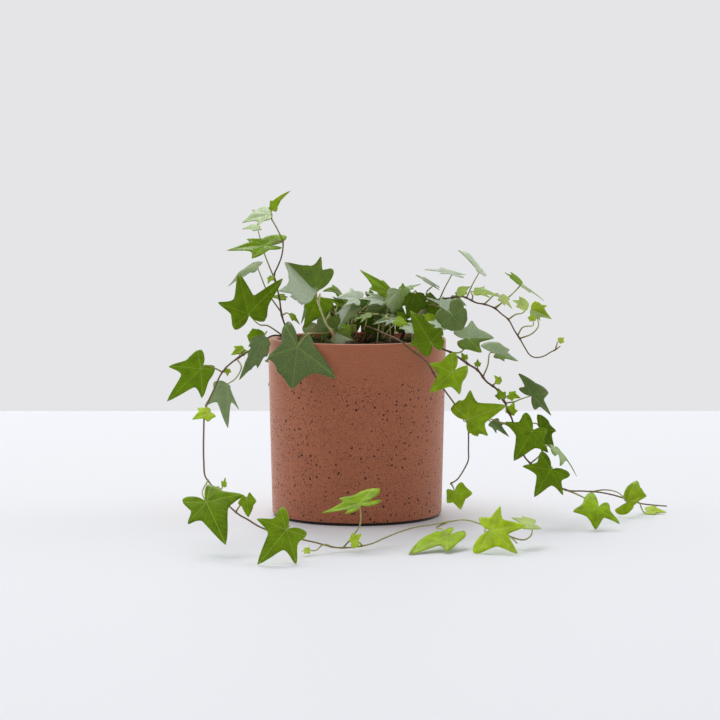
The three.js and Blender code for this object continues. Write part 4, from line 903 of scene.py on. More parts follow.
# %% [markdown]
# ## The long trailing stem
# The longest stem goes over the left rim, hangs down beside the pot and then runs along the table in
# front of it. Along the table its leaves stand up, lean or lie almost flat.
# %% Long trailing stem
FRONT_VINES.append(dict(
    name="vine_trailing_left",
    root=(-46, -20),
    girth=(0.72, 0.5),
    bark=(0.1, 0.95),
    route=[
        (-51, 141, 17), (-58, 141, 20), (-66, 141.3, 22), (-73, 137.5, 25), (-80, 132.5, 29),
        (-89, 126.5, 36), (-98, 120.5, 47), (-106, 112.5, 62), (-113, 98, 82), (-119.5, 83, 102),
        (-121, 62, 127), (-121, 42, 147), (-120, 30, 159), (-116, 24, 167), (-108, 14, 185),
        (-100, 5, 203), (-93, -1, 213), (-86, -5, 218), (-78, -10, 219), (-66, -15, 217),
        (-54, -18, 211), (-42, -21, 204), (-33, -23, 199), (-17, -27, 189), (-5, -27, 185),
        (10, -24.5, 176), (23, -19, 162), (37, -13.5, 154), (48, -10.5, 154), (59, -9, 155),
        (72, -6.5, 158), (85, -5, 162), (97, -8, 168), (107, -13, 172), (122, -19, 175),
        (127, -24, 177),
    ],
    leaves=[
        leaf(1, (-85, 158, 36), (-93, 191, 24), (0.1, -0.97, 0.15), 0.3,
             left=[(-109, 167), (-97, 147)], right=[(-58, 186), (-72, 154)],
             fill=(0.1, 0.1, -0.25, 0), stalk=[(-70, 149, 24), (-77, 150, 32)]),
        leaf(3.5, (-76, 139, 30), (-82, 147, 32), (-0.2, -0.8, 0.5), 0.6,
             left=[(-86, 140), (-80, 135)], right=[(-77, 146), (-74, 139)], fill=0.5),
        leaf(3, (-73, 141, 42), (-93, 106, 52), (0.1, -0.93, 0.3), 0.12,
             left=[(-78, 116), (-69, 133)], right=[(-86, 127), (-83, 137)], fill=0.7,
             painted_sheen=(0.2, 0.2)),
        leaf(5.4, (-90, 130, 32), (-99, 126, 38), (0, -0.7, 0.7), 0.72),
        leaf(6.6, (-102, 114, 58), (-102, 109, 60), (0, -1, 0.2), 0.85),
        leaf(7, (-123, 115, 66), (-150, 89, 76), (0.1, -0.97, 0.15), 0.5,
             left=[(-122, 92), (-112, 116)], right=[(-148, 117), (-124, 130)], fill=0.05),
        leaf(5.6, (-102, 103, 70), (-102, 68, 80), (-0.35, -0.75, 0.6), 0.3,
             left=[(-93, 83), (-100, 100)], right=[(-120, 86), (-113, 103)], fill=0.1,
             painted_sheen=(0.3, 0.3), stalk=[(-91, 116, 56), (-96, 107, 66)]),
        leaf(8.9, (-117, 80, 106), (-130, 75, 112), (-0.1, -0.7, 0.7), 0.78),
        leaf(12.6, (-119, 9, 201), (-104, -25, 221), (0.1, -0.97, 0.15), 0.5,
             left=[(-90, 15), (-117, 23)], right=[(-134, -8), (-138, 10)], fill=0.1),
        leaf(13.5, (-106, 22, 183), (-104, 29, 183), (0.8, -0.5, 0.3), 0.7,
             left=[(-107, 26), (-107, 22)], right=[(-103, 25), (-103, 22)]),
        leaf(15.6, (-87, 10, 215), (-86, -3, 219), (0.1, -0.97, 0.15), 0.62,
             left=[(-80, 11), (-85, 17)], right=[(-94, 9), (-90, 15)]),
        leaf(19.5, (-56, -13, 233), (-79, -41, 247), (0.1, -0.97, 0.15), 0.56,
             left=[(-48, -41), (-40, -17)], right=[(-79, -4), (-60, 5)]),
        leaf(22.8, (-38, -29, 203), (-44, -30, 205), (0.1, -0.5, 0.85), 0.85,
             left=[(-42, -32), (-38, -32)], right=[(-42, -28), (-38, -27)]),
        leaf(23.5, (2, 8, 178), (-28, 0, 187), (0.1, -0.5, 0.85), 0.58, left=[(-9, 0), (18, 13)],
             right=[(-14, 12), (17, 20)], fill=(0.1, -0.8, 0.2, -0.2), bend=LEVEL,
             stalk=[(-4, -19, 183), (2, -10, 180), (3, -3, 177)]),
        leaf(24.6, (-3, -23, 191), (4, -16, 195), (-0.1, -0.8, 0.6), 0.85),
        leaf(30, (71, -18, 175), (41, -33, 203), (0.05, -0.3, 0.95), 0.66,
             left=[(71, -30), (85, -14)], right=[(64, -14), (75, -11)], bend=LEVEL,
             stalk=[(63, -11, 155), (68, -13, 168)]),
        leaf(32.6, (106, -13, 189), (134, -10, 191), (0, -0.75, 0.65), 0.8,
             left=[(113, 6), (98, -3)], right=[(127, -32), (94, -32)]),
        leaf(33.5, (139, -8, 167), (122, -3, 164), (0.15, -0.35, 0.93), 0.9,
             left=[(128, -11), (147, -9)], right=[(131, -2), (141, -5)], bend=LEVEL,
             painted_sheen=(0.3, 0.3), stalk=[(132, -21, 173), (138, -17, 170)]),
    ],
))
print(FRONT_VINES[-1]["name"], "has", len(FRONT_VINES[-1]["leaves"]), "leaves")

# %% [markdown]
# ## The hanging stem
# This stem comes over the front rim, swings out to the right and hangs down beside the wall, with a
# small hooked end.
# %% Hanging stem
FRONT_VINES.append(dict(
    name="vine_hanging_front",
    root=(2, -24),
    girth=(0.75, 0.55),
    bark=(0.3, 0.62),
    route=[
        (6, 148, 34), (13, 146.5, 42), (20, 143.5, 50), (27, 140.5, 58), (34, 137, 66),
        (44, 129, 70), (50, 125, 69), (56, 119, 66), (60, 112, 62), (67, 101, 54), (75, 90, 46),
        (82, 80, 40), (87, 72, 37), (88, 63, 36), (88, 51, 38), (88, 43, 40), (85, 36, 44),
        (79, 27, 48), (74, 24, 50),
    ],
    leaves=[
        leaf(5.4, (58, 136, 74), (42, 161, 68), (0.1, -0.97, 0.15), 0.35,
             left=[(42, 134), (55, 125)], right=[(67, 146), (66, 130)], fill=(0.25, 0.4, 0.2, 0.5)),
        leaf(8, (75, 112, 62), (57, 96, 72), (0.1, -0.97, 0.15), 0.62, left=[(81, 95), (87, 117)],
             right=[(57, 119), (76, 128)], fill=0.1),
        leaf(11, (88, 75, 54), (118, 86, 58), (0.1, -0.93, 0.35), 0.7, left=[(89, 98), (75, 85)],
             right=[(103, 62), (90, 64)], fill=(0.1, 0.35, 0.1, 0.7), bend=dict(pleat=0.1)),
        leaf(18, (78, 16, 56), (82, 3, 60), (0, -0.85, 0.5), 0.72, left=[(91, 17), (83, 25)],
             right=[(71, 9), (71, 19)]),
    ],
))
print(FRONT_VINES[-1]["name"], "has", len(FRONT_VINES[-1]["leaves"]), "leaves")

# %% [markdown]
# ## The right-hand trailing stem
# The thickest stem falls over the right rim in steps, with a leaf or a bud at nearly every joint,
# and its end lies far out on the table.
# %% Right-hand trailing stem
FRONT_VINES.append(dict(
    name="vine_trailing_right",
    root=(34, -8),
    girth=(0.9, 0.55),
    bark=(0.05, 0.6),
    route=[
        (40, 148, 20), (46, 146, 28), (52, 143.5, 37), (58, 140, 44), (63, 135, 47), (67, 131, 47),
        (74, 128, 44), (87, 119, 37), (95, 114, 33), (102, 105, 30), (110, 99, 28), (114, 92, 28),
        (117, 88, 28), (119, 82, 28), (122, 76, 30), (125, 66, 33), (128, 61, 36), (132, 46, 42),
        (137, 40, 45), (150, 28, 50), (165, 19, 50), (179, 18, 42), (192, 17, 34), (202, 15, 26),
        (209, 13, 20), (225, 8, -6), (233, 7, -12), (245, 6, -20),
    ],
    leaves=[
        leaf(6, (88, 139, 40), (108, 139, 46), (-0.25, -0.7, 0.65), 0.3,
             left=[(90, 153), (77, 145)], right=[(98, 128), (79, 136)], fill=(0.1, 0.2, 0.1, 0.3),
             painted_sheen=(0.5, 0.05), stalk=[(81, 128, 42), (87, 134, 41)]),
        leaf(7, (85, 123, 38), (82, 128, 38), (0, -0.9, 0.4), 0.6),
        leaf(8, (95, 118, 33), (95, 123, 33), (0, -0.9, 0.4), 0.7),
        leaf(8.6, (110, 127, 30), (127, 121, 34), (0, -0.7, 0.7), 0.3, left=[(120, 130), (98, 134)],
             right=[(116, 121), (108, 124)], fill=0.3, painted_sheen=(0.5, 0.15)),
        leaf(9.6, (112, 105, 32), (108, 110, 32), (0.2, -0.8, 0.6), 0.75),
        leaf(11.5, (114, 93, 30), (111, 100, 32), (-0.3, -0.8, 0.4), 0.65),
        leaf(11.4, (121, 94, 28), (129, 92, 30), (0, -0.8, 0.6), 0.72),
        leaf(13.4, (121, 81, 28), (124, 89, 30), (0, -0.9, 0.4), 0.7),
        leaf(12, (138, 94, 30), (151, 96, 18), (0.5, -0.85, 0.1), 0.05,
             left=[(127, 111), (128, 100)], right=[(153, 78), (141, 83)], painted_sheen=(0.08, 0.08),
             stalk=[(124, 89, 28), (129, 91, 29)]),
        leaf(15.6, (138, 65, 36), (124, 42, 46), (0.1, -0.97, 0.15), 0.38,
             left=[(151, 49), (150, 66)], right=[(117, 73), (132, 80)], fill=0.1),
        leaf(15, (145, 67, 24), (156, 49, 22), (0.2, -0.95, 0.15), 0.3, left=[(157, 66), (143, 79)],
             right=[(146, 49), (138, 58)], fill=0.2),
        leaf(15.2, (106, 73, 26), (120, 61, 24), (-0.2, -0.75, 0.6), 0.08,
             left=[(119, 72), (112, 75)], right=[(110, 64), (104, 70)], fill=0.1, painted_sheen=(0.15, 0.25)),
        leaf(18, (156, 53, 28), (174, 30, 32), (0.75, -0.1, 0.6), 0.5, left=[(165, 45), (160, 51)],
             right=[(161, 39), (155, 42)], painted_sheen=(0.2, 0.2), stalk=[(144, 46, 38), (150, 54, 34)]),
        leaf(18.4, (153, 35, 48), (140, 13, 58), (0.1, -0.97, 0.15), 0.43,
             left=[(163, 15), (168, 30)], right=[(131, 38), (145, 49)], fill=0.05),
        leaf(20, (191, 4, 84), (189, -13, 94), (0.05, -0.9, 0.35), 0.6, left=[(208, -8), (199, 8)],
             right=[(171, 2), (185, 17)], fill=(-0.1, 0, 0.3, 0.1), bend=dict(arch=0.3),
             stalk=[(175, 15, 54), (184, 10, 54)]),
        leaf(21.5, (214, 9, 18), (229, 14, 22), (-0.1, -0.75, 0.6), 0.7,
             left=[(220, 26), (211, 15)], right=[(219, 7), (204, 3)], fill=0.3,
             stalk=[(196, 19, 36), (206, 17, 32)]),
        leaf(24.6, (231, 2, 0), (245, 1, 2), (0, -0.4, 0.9), 0.85),
    ],
))
print(FRONT_VINES[-1]["name"], "has", len(FRONT_VINES[-1]["leaves"]), "leaves")

# %% [markdown]
# ## The arching stem
# At the upper right a thin stem arches out into the air and curls up at its end. The light from
# behind makes its level leaves silvery.
# %% Arching stem
FRONT_VINES.append(dict(
    name="vine_arching_right",
    root=(36, 10),
    girth=(0.75, 0.45),
    bark=(0.05, 0.6),
    route=[
        (40, 148, -6), (47, 159, -2), (56, 167, 3), (65, 170, 8), (74, 171, 10), (83, 172, 12),
        (88, 170, 12), (94, 167, 12), (100, 166, 12), (108, 163, 12), (114, 158, 12),
        (119, 154, 12), (124, 145, 12), (128, 139, 12), (132, 132, 12), (136, 126, 12),
        (140, 124, 12), (147, 125, 12), (152, 128, 12), (156, 130, 12), (160, 133, 12),
    ],
    leaves=[
        leaf(3, (75, 190, 4), (53, 193, 10), (0.12, -0.12, 0.98), 0.25, left=[(65, 190), (82, 187)],
             right=[(66, 195), (85, 189)], bend=LEVEL, painted_sheen=(0.7, 0.7), stalk=[(69, 179, 6)]),
        leaf(5.6, (96, 191, 6), (79, 208, 8), (0.7, -0.2, 0.7), 0.45, left=[(89, 199), (95, 191)],
             right=[(95, 199), (104, 189)], fill=0.3, painted_sheen=(0.5, 0.7), stalk=[(91, 182, 9)]),
        leaf(4.4, (79, 176, 18), (89, 180, 22), (0, -0.7, 0.6), 0.72, left=[(83, 180), (79, 178)],
             right=[(86, 174), (81, 172)], fill=0.3, painted_sheen=(0.2, 0.2)),
        leaf(6.4, (92, 176, 18), (112, 172, 22), (0.1, -0.5, 0.85), 0.72,
             left=[(100, 180), (94, 179)], right=[(105, 171), (94, 173)], fill=0.2, painted_sheen=(0.3, 0.1)),
        leaf(9, (129, 182, 14), (116, 191, 16), (0.5, -0.4, 0.75), 0.4,
             left=[(120, 187), (126, 182)], right=[(121, 191), (130, 182)], fill=0.1, bend=LEVEL,
             stalk=[(115, 168, 13), (123, 175, 13)]),
        leaf(8, (113, 172, 22), (122, 162, 26), (0.2, -0.7, 0.7), 0.97,
             left=[(120, 170), (115, 174)], right=[(116, 165), (111, 169)], painted_sheen=(0.3, 0.3)),
        leaf(11, (134, 163, 16), (122, 169, 20), (0.1, -0.8, 0.6), 0.95,
             left=[(125, 164), (131, 161)], right=[(128, 172), (134, 168)], fill=0.15,
             painted_sheen=(0.25, 0.25), stalk=[(125, 158, 14), (130, 159, 15)]),
        leaf(13, (137, 162, 16), (153, 154, 18), (0, -0.75, 0.6), 0.85,
             left=[(149, 165), (141, 168)], right=[(144, 153), (137, 158)], fill=0.4,
             painted_sheen=(0, 0.3), stalk=[(138, 143, 14), (143, 150, 15)]),
        leaf(12.6, (138, 154, 8), (137, 160, 6), (0, -0.9, 0.3), 0.95),
        leaf(19, (159, 137, 13), (163, 140, 14), (0, -0.9, 0.4), 1, left=[(160, 140), (158, 139)],
             right=[(163, 136), (160, 135)], fill=0.2),
        leaf(9.1, (129, 181, 17), (147, 169, 20), (0.5, -0.3, 0.8), 0.6,
             left=[(137, 177), (131, 181)], right=[(136, 175), (130, 179)], fill=0.1, bend=LEVEL,
             painted_sheen=(0.4, 0.4), stalk=[(115, 168, 15), (123, 175, 16)]),
    ],
))
print(FRONT_VINES[-1]["name"], "has", len(FRONT_VINES[-1]["leaves"]), "leaves")

# %% [markdown]
# ## The front left shoot
# Short shoots make the crown. This one carries one of the biggest leaves, which hangs over the rim,
# and a folded one that stands above it.
# %% Front left shoot
FRONT_VINES.append(dict(
    name="shoot_front_left",
    root=(-18, -47),
    girth=(0.9, 0.6),
    bark=(0.85, 1),
    route=[
        (-19, 143, 51), (-24, 150, 52), (-28, 160, 50), (-31.5, 170, 44),
    ],
    leaves=[
        leaf(0.2, (-47, 132, 66), (-51, 99, 84), (0.05, -0.95, 0.25), 0.1,
             left=[(-17, 108), (-39, 143)], right=[(-70, 124), (-55, 152)],
             fill=(0.35, -0.2, 0.75, -0.2), painted_sheen=(0.12, 0.12),
             stalk=[(-25, 143, 44), (-39, 142, 58)]),
        leaf(2.9, (-33, 176, 38), (-57, 199, 44), (-0.25, -0.65, 0.7), 0.25,
             left=[(-61, 176), (-47, 169)], right=[(-28, 203), (-20, 194)],
             fill=(0.5, 0.6, 0.35, 0.2), bend=dict(fold=0.5, arch=0.1), painted_sheen=(0.75, 0.05)),
        leaf(2.2, (-31, 170, 30), (-42, 147, 36), (0.1, -0.9, 0.4), 0.5,
             left=[(-24, 151), (-19, 165)], right=[(-42, 164), (-35, 172)], fill=0.4),
        leaf(1.2, (-22, 155, 40), (-28, 136, 44), (0.1, -0.95, 0.2), 0.08,
             left=[(-14, 142), (-13, 154)], right=[(-35, 140), (-31, 154)], fill=0.3,
             painted_sheen=(0.05, 0.15)),
        leaf(0.5, (-15, 143, 46), (-2, 137, 50), (0.1, -0.85, 0.4), 0.2,
             left=[(-7, 145), (-12, 148)], right=[(-11, 134), (-20, 137)], fill=0.3,
             painted_sheen=(0.05, 0.45)),
        leaf(2.6, (-36, 175, 26), (-44, 150, 30), (0.3, -0.9, 0.2), 0.3,
             left=[(-35, 165), (-32, 171)], right=[(-44, 165), (-42, 172)], fill=0.2,
             painted_sheen=(0.8, 0.8)),
    ],
))
print(FRONT_VINES[-1]["name"], "has", len(FRONT_VINES[-1]["leaves"]), "leaves")

# %% [markdown]
# ## The middle shoot
# The middle shoot is a dense tuft of small leaves. The lowest are dark, because they grow in the
# shade of the others.
# %% Middle shoot
FRONT_VINES.append(dict(
    name="shoot_middle",
    root=(-6, -8),
    girth=(0.9, 0.6),
    bark=(0.7, 0.95),
    route=[
        (-5, 145, 10), (-3, 154, 12), (-1, 163, 12), (2, 170, 10),
    ],
    leaves=[
        leaf(2.6, (-13, 174, 10), (-27, 176, 16), (0, -0.5, 0.85), 0.3, bend=dict(arch=0.6)),
        leaf(2, (-4, 165, 22), (-15, 143, 32), (-0.25, -0.7, 0.6), 0.25, left=[(1, 154), (3, 162)],
             right=[(-17, 158), (-10, 165)], fill=0.3, painted_sheen=(0.2, 0.9)),
        leaf(3, (1, 170, 20), (-16, 171, 26), (-0.2, -0.6, 0.75), 0.35, left=[(-9, 165), (0, 165)],
             right=[(-5, 179), (3, 176)], fill=0.2, painted_sheen=(0.9, 0.85)),
        leaf(3, (-8, 165, 14), (-29, 171, 22), (0, -0.5, 0.85), 0.6, left=[(-17, 165), (-10, 162)],
             right=[(-19, 172), (-10, 169)], fill=0.3, bend=LEVEL),
        leaf(1, (11, 158, 36), (-4, 153, 44), (0, -0.35, 0.93), 0.3, left=[(2, 151), (9, 155)],
             right=[(1, 157), (9, 159)], fill=0.2, bend=LEVEL),
        leaf(0.4, (-7, 148, 34), (-8, 137, 42), (0, -0.9, 0.3), 0.4),
        leaf(2.6, (20, 169, 16), (1, 170, 22), (-0.15, -0.55, 0.8), 0.3, left=[(9, 165), (19, 165)],
             right=[(7, 175), (20, 173)], fill=0.2, painted_sheen=(0.8, 0.7)),
        leaf(1.6, (9, 162, 8), (25, 165, 8), (0.1, -0.8, 0.5), 0.15, left=[(17, 168), (9, 167)],
             right=[(18, 158), (6, 158)], fill=0.3, painted_sheen=(0.25, 0.1)),
        leaf(0.6, (-4, 152, -6), (-10, 141, -2), (0.1, -0.9, 0.2), 0.02, fill=0.3),
        leaf(0.6, (15, 150, -24), (18, 140, -22), (0, -0.95, 0.1), 0.02, fill=0.3),
        leaf(0.6, (7, 161, -4), (2, 149, 2), (0.2, -0.9, 0.1), 0.02, fill=0.3),
    ],
))
print(FRONT_VINES[-1]["name"], "has", len(FRONT_VINES[-1]["leaves"]), "leaves")

# %% [markdown]
# ## The right shoot
# This shoot fills the crown right of the middle, with one lighter leaf that stands up from it.
# %% Right shoot
FRONT_VINES.append(dict(
    name="shoot_right",
    root=(20, -12),
    girth=(0.9, 0.6),
    bark=(0.8, 1),
    route=[
        (20, 144, 14), (22, 154, 14), (25, 164, 12), (28, 171, 10),
    ],
    leaves=[
        leaf(2.6, (26, 175, 10), (2, 193, 8), (0, -0.6, 0.8), 0.5, left=[(10, 178), (20, 172)],
             right=[(20, 185), (31, 178)], fill=(0.5, 0.5, 0.3, -0.3)),
        leaf(3, (34, 177, 16), (28, 159, 30), (0, -0.8, 0.5), 0.32, left=[(39, 165), (39, 179)],
             right=[(20, 166), (24, 176)], fill=(0.9, 0.4, 0.9, 0.4), painted_sheen=(0.12, 0.35)),
        leaf(3, (38, 178, 6), (50, 182, 4), (0.25, -0.3, 0.9), 0.5, left=[(42, 181), (39, 180)],
             right=[(44, 178), (39, 176)], bend=LEVEL, painted_sheen=(0.3, 0.2)),
        leaf(1, (31, 155, 28), (12, 150, 38), (0, -0.5, 0.85), 0.3, left=[(22, 149), (29, 150)],
             right=[(18, 158), (27, 158)], fill=0.2, bend=LEVEL, painted_sheen=(0.7, 0.15)),
        leaf(1, (31, 154, 47), (42, 149, 51), (0.1, -0.6, 0.75), 0.6, left=[(37, 154), (32, 156)],
             right=[(35, 148), (29, 150)], fill=0.3),
        leaf(0.8, (36, 154, 28), (31, 161, 28), (0.1, -0.9, 0.4), 0.5, left=[(31, 154), (35, 152)],
             right=[(37, 160), (39, 156)], fill=0.2),
        leaf(0.6, (45, 147, 40), (33, 147, 46), (-0.1, -0.55, 0.8), 0.4,
             left=[(39, 143), (44, 143)], right=[(39, 151), (45, 150)], fill=0.3, painted_sheen=(0.85, 0.85)),
        leaf(3, (36, 176, -4), (36, 183, -8), (0.1, -0.9, 0.3), 0.45, left=[(33, 179), (34, 175)],
             right=[(39, 179), (39, 175)], fill=0.2),
        leaf(0.35, (12, 152, 14), (3, 141, 18), (0.2, -0.9, 0.1), 0, fill=0.3),
        leaf(0.35, (22, 152, 1), (29, 141, 3), (-0.2, -0.9, 0.1), 0, fill=0.3),
        leaf(0.35, (35, 150, 6), (42, 142, 8), (0.1, -0.95, 0.1), 0, fill=0.3),
    ],
))
print(FRONT_VINES[-1]["name"], "has", len(FRONT_VINES[-1]["leaves"]), "leaves")

# %% [markdown]
# ## The far right shoot
# The last front shoot stands at the right rim. Some of its leaves lie level over the others.
# %% Far right shoot
FRONT_VINES.append(dict(
    name="shoot_far_right",
    root=(44, -14),
    girth=(0.9, 0.6),
    bark=(0.8, 1),
    route=[
        (46, 144, 14), (48, 154, 16), (51, 164, 16), (54, 170, 14),
    ],
    leaves=[
        leaf(2.4, (45, 174, 24), (39, 154, 34), (0.2, -0.97, 0.1), 0.05,
             left=[(57, 164), (53, 173)], right=[(35, 166), (40, 174)], fill=(0.5, 0.5, 0.6, 0.7)),
        leaf(3, (75, 157, 50), (83, 146, 52), (0.1, -0.95, 0.2), 0.2, left=[(84, 163), (75, 170)],
             right=[(66, 150), (65, 162)], fill=0.5, painted_sheen=(0.12, 0.12),
             stalk=[(66, 163, 24), (74, 161, 30)]),
        leaf(3, (57, 183, 12), (46, 189, 14), (0.49, -0.1, 0.87), 0.25, left=[(53, 184), (65, 177)],
             right=[(53, 187), (66, 179)], bend=LEVEL, painted_sheen=(0.3, 0.3)),
        leaf(2, (75, 169, 9), (86, 165, 13), (-0.2, -0.6, 0.75), 0.3, painted_sheen=(0.5, 0.5)),
        leaf(1.2, (61, 153, 30), (50, 158, 32), (0, -0.7, 0.6), 0.72, left=[(54, 153), (60, 150)],
             right=[(56, 159), (61, 157)], fill=0.2),
        leaf(1, (68, 150, 40), (53, 152, 48), (-0.1, -0.5, 0.85), 0.4, left=[(61, 147), (68, 146)],
             right=[(61, 154), (68, 153)], fill=0.2, bend=LEVEL, painted_sheen=(0.8, 0.8)),
        leaf(1.8, (64, 159, 15), (57, 176, 15), (0.1, -0.9, 0.4), 0.3, left=[(48, 169), (57, 158)],
             right=[(68, 172), (71, 158)], fill=0.3),
        leaf(1.9, (73, 162, 26), (54, 171, 28), (-0.1, -0.6, 0.8), 0.3, left=[(64, 165), (72, 159)],
             right=[(65, 171), (75, 169)], fill=0.3, painted_sheen=(0.85, 0.85)),
    ],
))
print(FRONT_VINES[-1]["name"], "has", len(FRONT_VINES[-1]["leaves"]), "leaves")

# %% [markdown]
# ## The far side
# The eye sees nothing of the far side, but the plant is just as alive there: two stems hang down and
# four shoots fill the crown. Their routes are real places, across, back and up. Their leaves come from
# a rule: where on the route the first one is, how many there are, and the longest and the shortest.
# %% Far side
FAR_VINES = [
    dict(
        name="vine_back_left",
        root=(-22, 34),
        girth=(1.2, 0.7),
        route=[
            (-24, 42, 145), (-28, 54, 148), (-33, 66, 144.5), (-37, 75, 135), (-39, 79, 116),
            (-38, 80, 95), (-35, 82, 75), (-33, 84, 55), (-33, 87, 36), (-31, 93, 17),
            (-23, 101, 5), (-10, 106, 2), (6, 108, 2),
        ],
        leafing=dict(first=3, count=7, longest=31, shortest=16, seed=11),
    ),
    dict(
        name="vine_back_right",
        root=(26, 30),
        girth=(1.2, 0.7),
        route=[
            (28, 40, 144), (31, 52, 148), (34, 64, 145), (38, 73, 135), (41, 78, 119),
            (41, 80, 100), (38, 81, 84), (34, 82, 68), (33, 84, 54),
        ],
        leafing=dict(first=3, count=6, longest=30, shortest=13, seed=23),
    ),
    dict(
        name="shoot_back_left",
        root=(-13, 19),
        girth=(1.1, 0.7),
        route=[(-14, 21, 147), (-16, 25, 154), (-18, 30, 160)],
        leafing=dict(first=0.6, count=4, longest=22, shortest=15, seed=5),
    ),
    dict(
        name="shoot_back_middle",
        root=(6, 36),
        girth=(1.1, 0.7),
        route=[(6, 39, 147), (5, 44, 155), (4, 50, 161)],
        leafing=dict(first=0.5, count=4, longest=26, shortest=17, seed=8),
    ),
    dict(
        name="shoot_centre",
        root=(14, 4),
        girth=(1.1, 0.7),
        route=[(14, 6, 148), (14, 9, 158), (15, 12, 167)],
        leafing=dict(first=0.6, count=4, longest=25, shortest=16, seed=31),
    ),
    dict(
        name="shoot_back_right",
        root=(42, 22),
        girth=(1.1, 0.7),
        route=[(44, 26, 146), (47, 31, 155), (50, 36, 162)],
        leafing=dict(first=0.5, count=4, longest=25, shortest=16, seed=17),
    ),
]
print(len(FAR_VINES), "vines and shoots on the far side")

# %% [markdown]
# ## Rooting a vine
# Every stem starts below the soil, in a straight piece that stands in its hole, and then follows its
# route. The front vines turn their measured spots into real places and keep their measured leaves.
# %% Measured vines
ROOT_DEPTHS = (22, 6, -1)
USUAL_BARK = (0.2, 0.85)


def rooted(record, to_place):
    """A vine with its path in real places and no leaves yet."""
    x, y = (value * MM for value in record["root"])
    ground = soil_height(math.hypot(x, y))
    path = [Vector((x, y, ground - depth * MM)) for depth in ROOT_DEPTHS]
    path += [to_place(spot) for spot in record["route"]]
    return dict(name=record["name"], path=path, girth=[r * MM for r in record["girth"]],
                bark=record.get("bark", USUAL_BARK), leaves=[])


def measured_vine(record):
    vine = rooted(record, seen)
    for entry in record["leaves"]:
        vine["leaves"].append({
            **entry,
            "start": curve_point(vine["path"], entry["stem_place"] + len(ROOT_DEPTHS)),
            "base": seen(entry["base"]),
            "tip": seen(entry["tip"]),
            "stalk": [seen(spot) for spot in entry["stalk"]],
        })
    return vine


vines = [measured_vine(record) for record in FRONT_VINES]
print(len(vines), "front vines with", sum(len(vine["leaves"]) for vine in vines), "leaves")

# %% [markdown]
# ## The far side's leaves
# Nothing of the far side was measured, so its leaves follow a rule that ivy keeps to: they stand left
# and right in turn, point out from the pot, get smaller and younger towards the stem's end, and droop.
# Each share is drawn within a range, so that no two are alike. The draws are seeded, so the plant is the
# same on every run.
# %% Ruled vines
# each share: its least value and the width of its range, or one value where nothing is drawn
LEAF_RULE = dict(
    size=(0.9, 0.2), out=(0.3, 0.2), aside=(0.35, 0.2), rise=(0.25, 0.15), lean_out=0.35,
    lean_aside=(0.2, 0.4), droop=(0.6, 0.3), face_up=0.5, face_aside=(-0.15, 0.3),
)
OLDEST_AGE, AGE_RANGE = 0.15, 0.6
FAR_FILL = 0.15
LOWEST_TIP = 0.7 * MM
UP = Vector((0, 0, 1))
DRAW_FACTOR, DRAW_PRIME = 16807, 2147483647


def draws(seed):
    """Endless seeded draws between 0 and 1, the same ones that placed the measured solids."""
    state = seed
    while True:
        state = state * DRAW_FACTOR % DRAW_PRIME
        yield state / DRAW_PRIME


def ruled_vine(record):
    vine = rooted(record, lambda spot: Vector(spot) * MM)
    rule = record["leafing"]
    draw = draws(rule["seed"])

    def pick(name):
        least, width = LEAF_RULE[name]
        return least + width * next(draw)

    last = len(record["route"]) - 1
    for i in range(rule["count"]):
        share = i / (rule["count"] - 1)
        place = rule["first"] + (last - rule["first"]) * share
        start = curve_point(vine["path"], place + len(ROOT_DEPTHS))
        out = Vector((start.x, start.y, 0)).normalized()
        aside = UP.cross(out) * (1 if i % 2 else -1)
        size = (rule["longest"] + (rule["shortest"] - rule["longest"]) * share) * MM * pick("size")
        base = start + out * size * pick("out")
        base += aside * size * pick("aside")
        base += UP * size * pick("rise")
        lean = out * LEAF_RULE["lean_out"] + aside * pick("lean_aside")
        lean -= UP * pick("droop")
        tip = base + lean.normalized() * size
        tip.z = max(tip.z, LOWEST_TIP)
        face = out + UP * LEAF_RULE["face_up"] + aside * pick("face_aside")
        age = OLDEST_AGE + AGE_RANGE * share * share
        vine["leaves"].append({**leaf(place, base, tip, face, age, fill=FAR_FILL), "start": start})
    return vine


vines += [ruled_vine(record) for record in FAR_VINES]
print(len(vines), "vines with", sum(len(vine["leaves"]) for vine in vines), "leaves in all")

# %% [markdown]
# ## Leaf veins
# The main veins start at the stalk, 60 degrees apart, so folding the angle onto one vein draws all five
# at once. Side veins branch off forwards, and a fine net of Voronoi edges joins them. Painted veins
# would blur up close, while these are worked out from the blade's UV map and stay sharp.
# %% Vein pattern
# Widths and gaps are in midribs, like the UV map: where a vein fades out, then where it is full.
MAIN_VEIN = (0.01, 0.003)
SIDE_VEIN = (0.011, 0.002)
SIDE_VEIN_GAP = 0.065
SIDE_VEIN_SLANT = 1.6
NET_CELLS = 22
NET_VEIN = (0.09, 0.02)


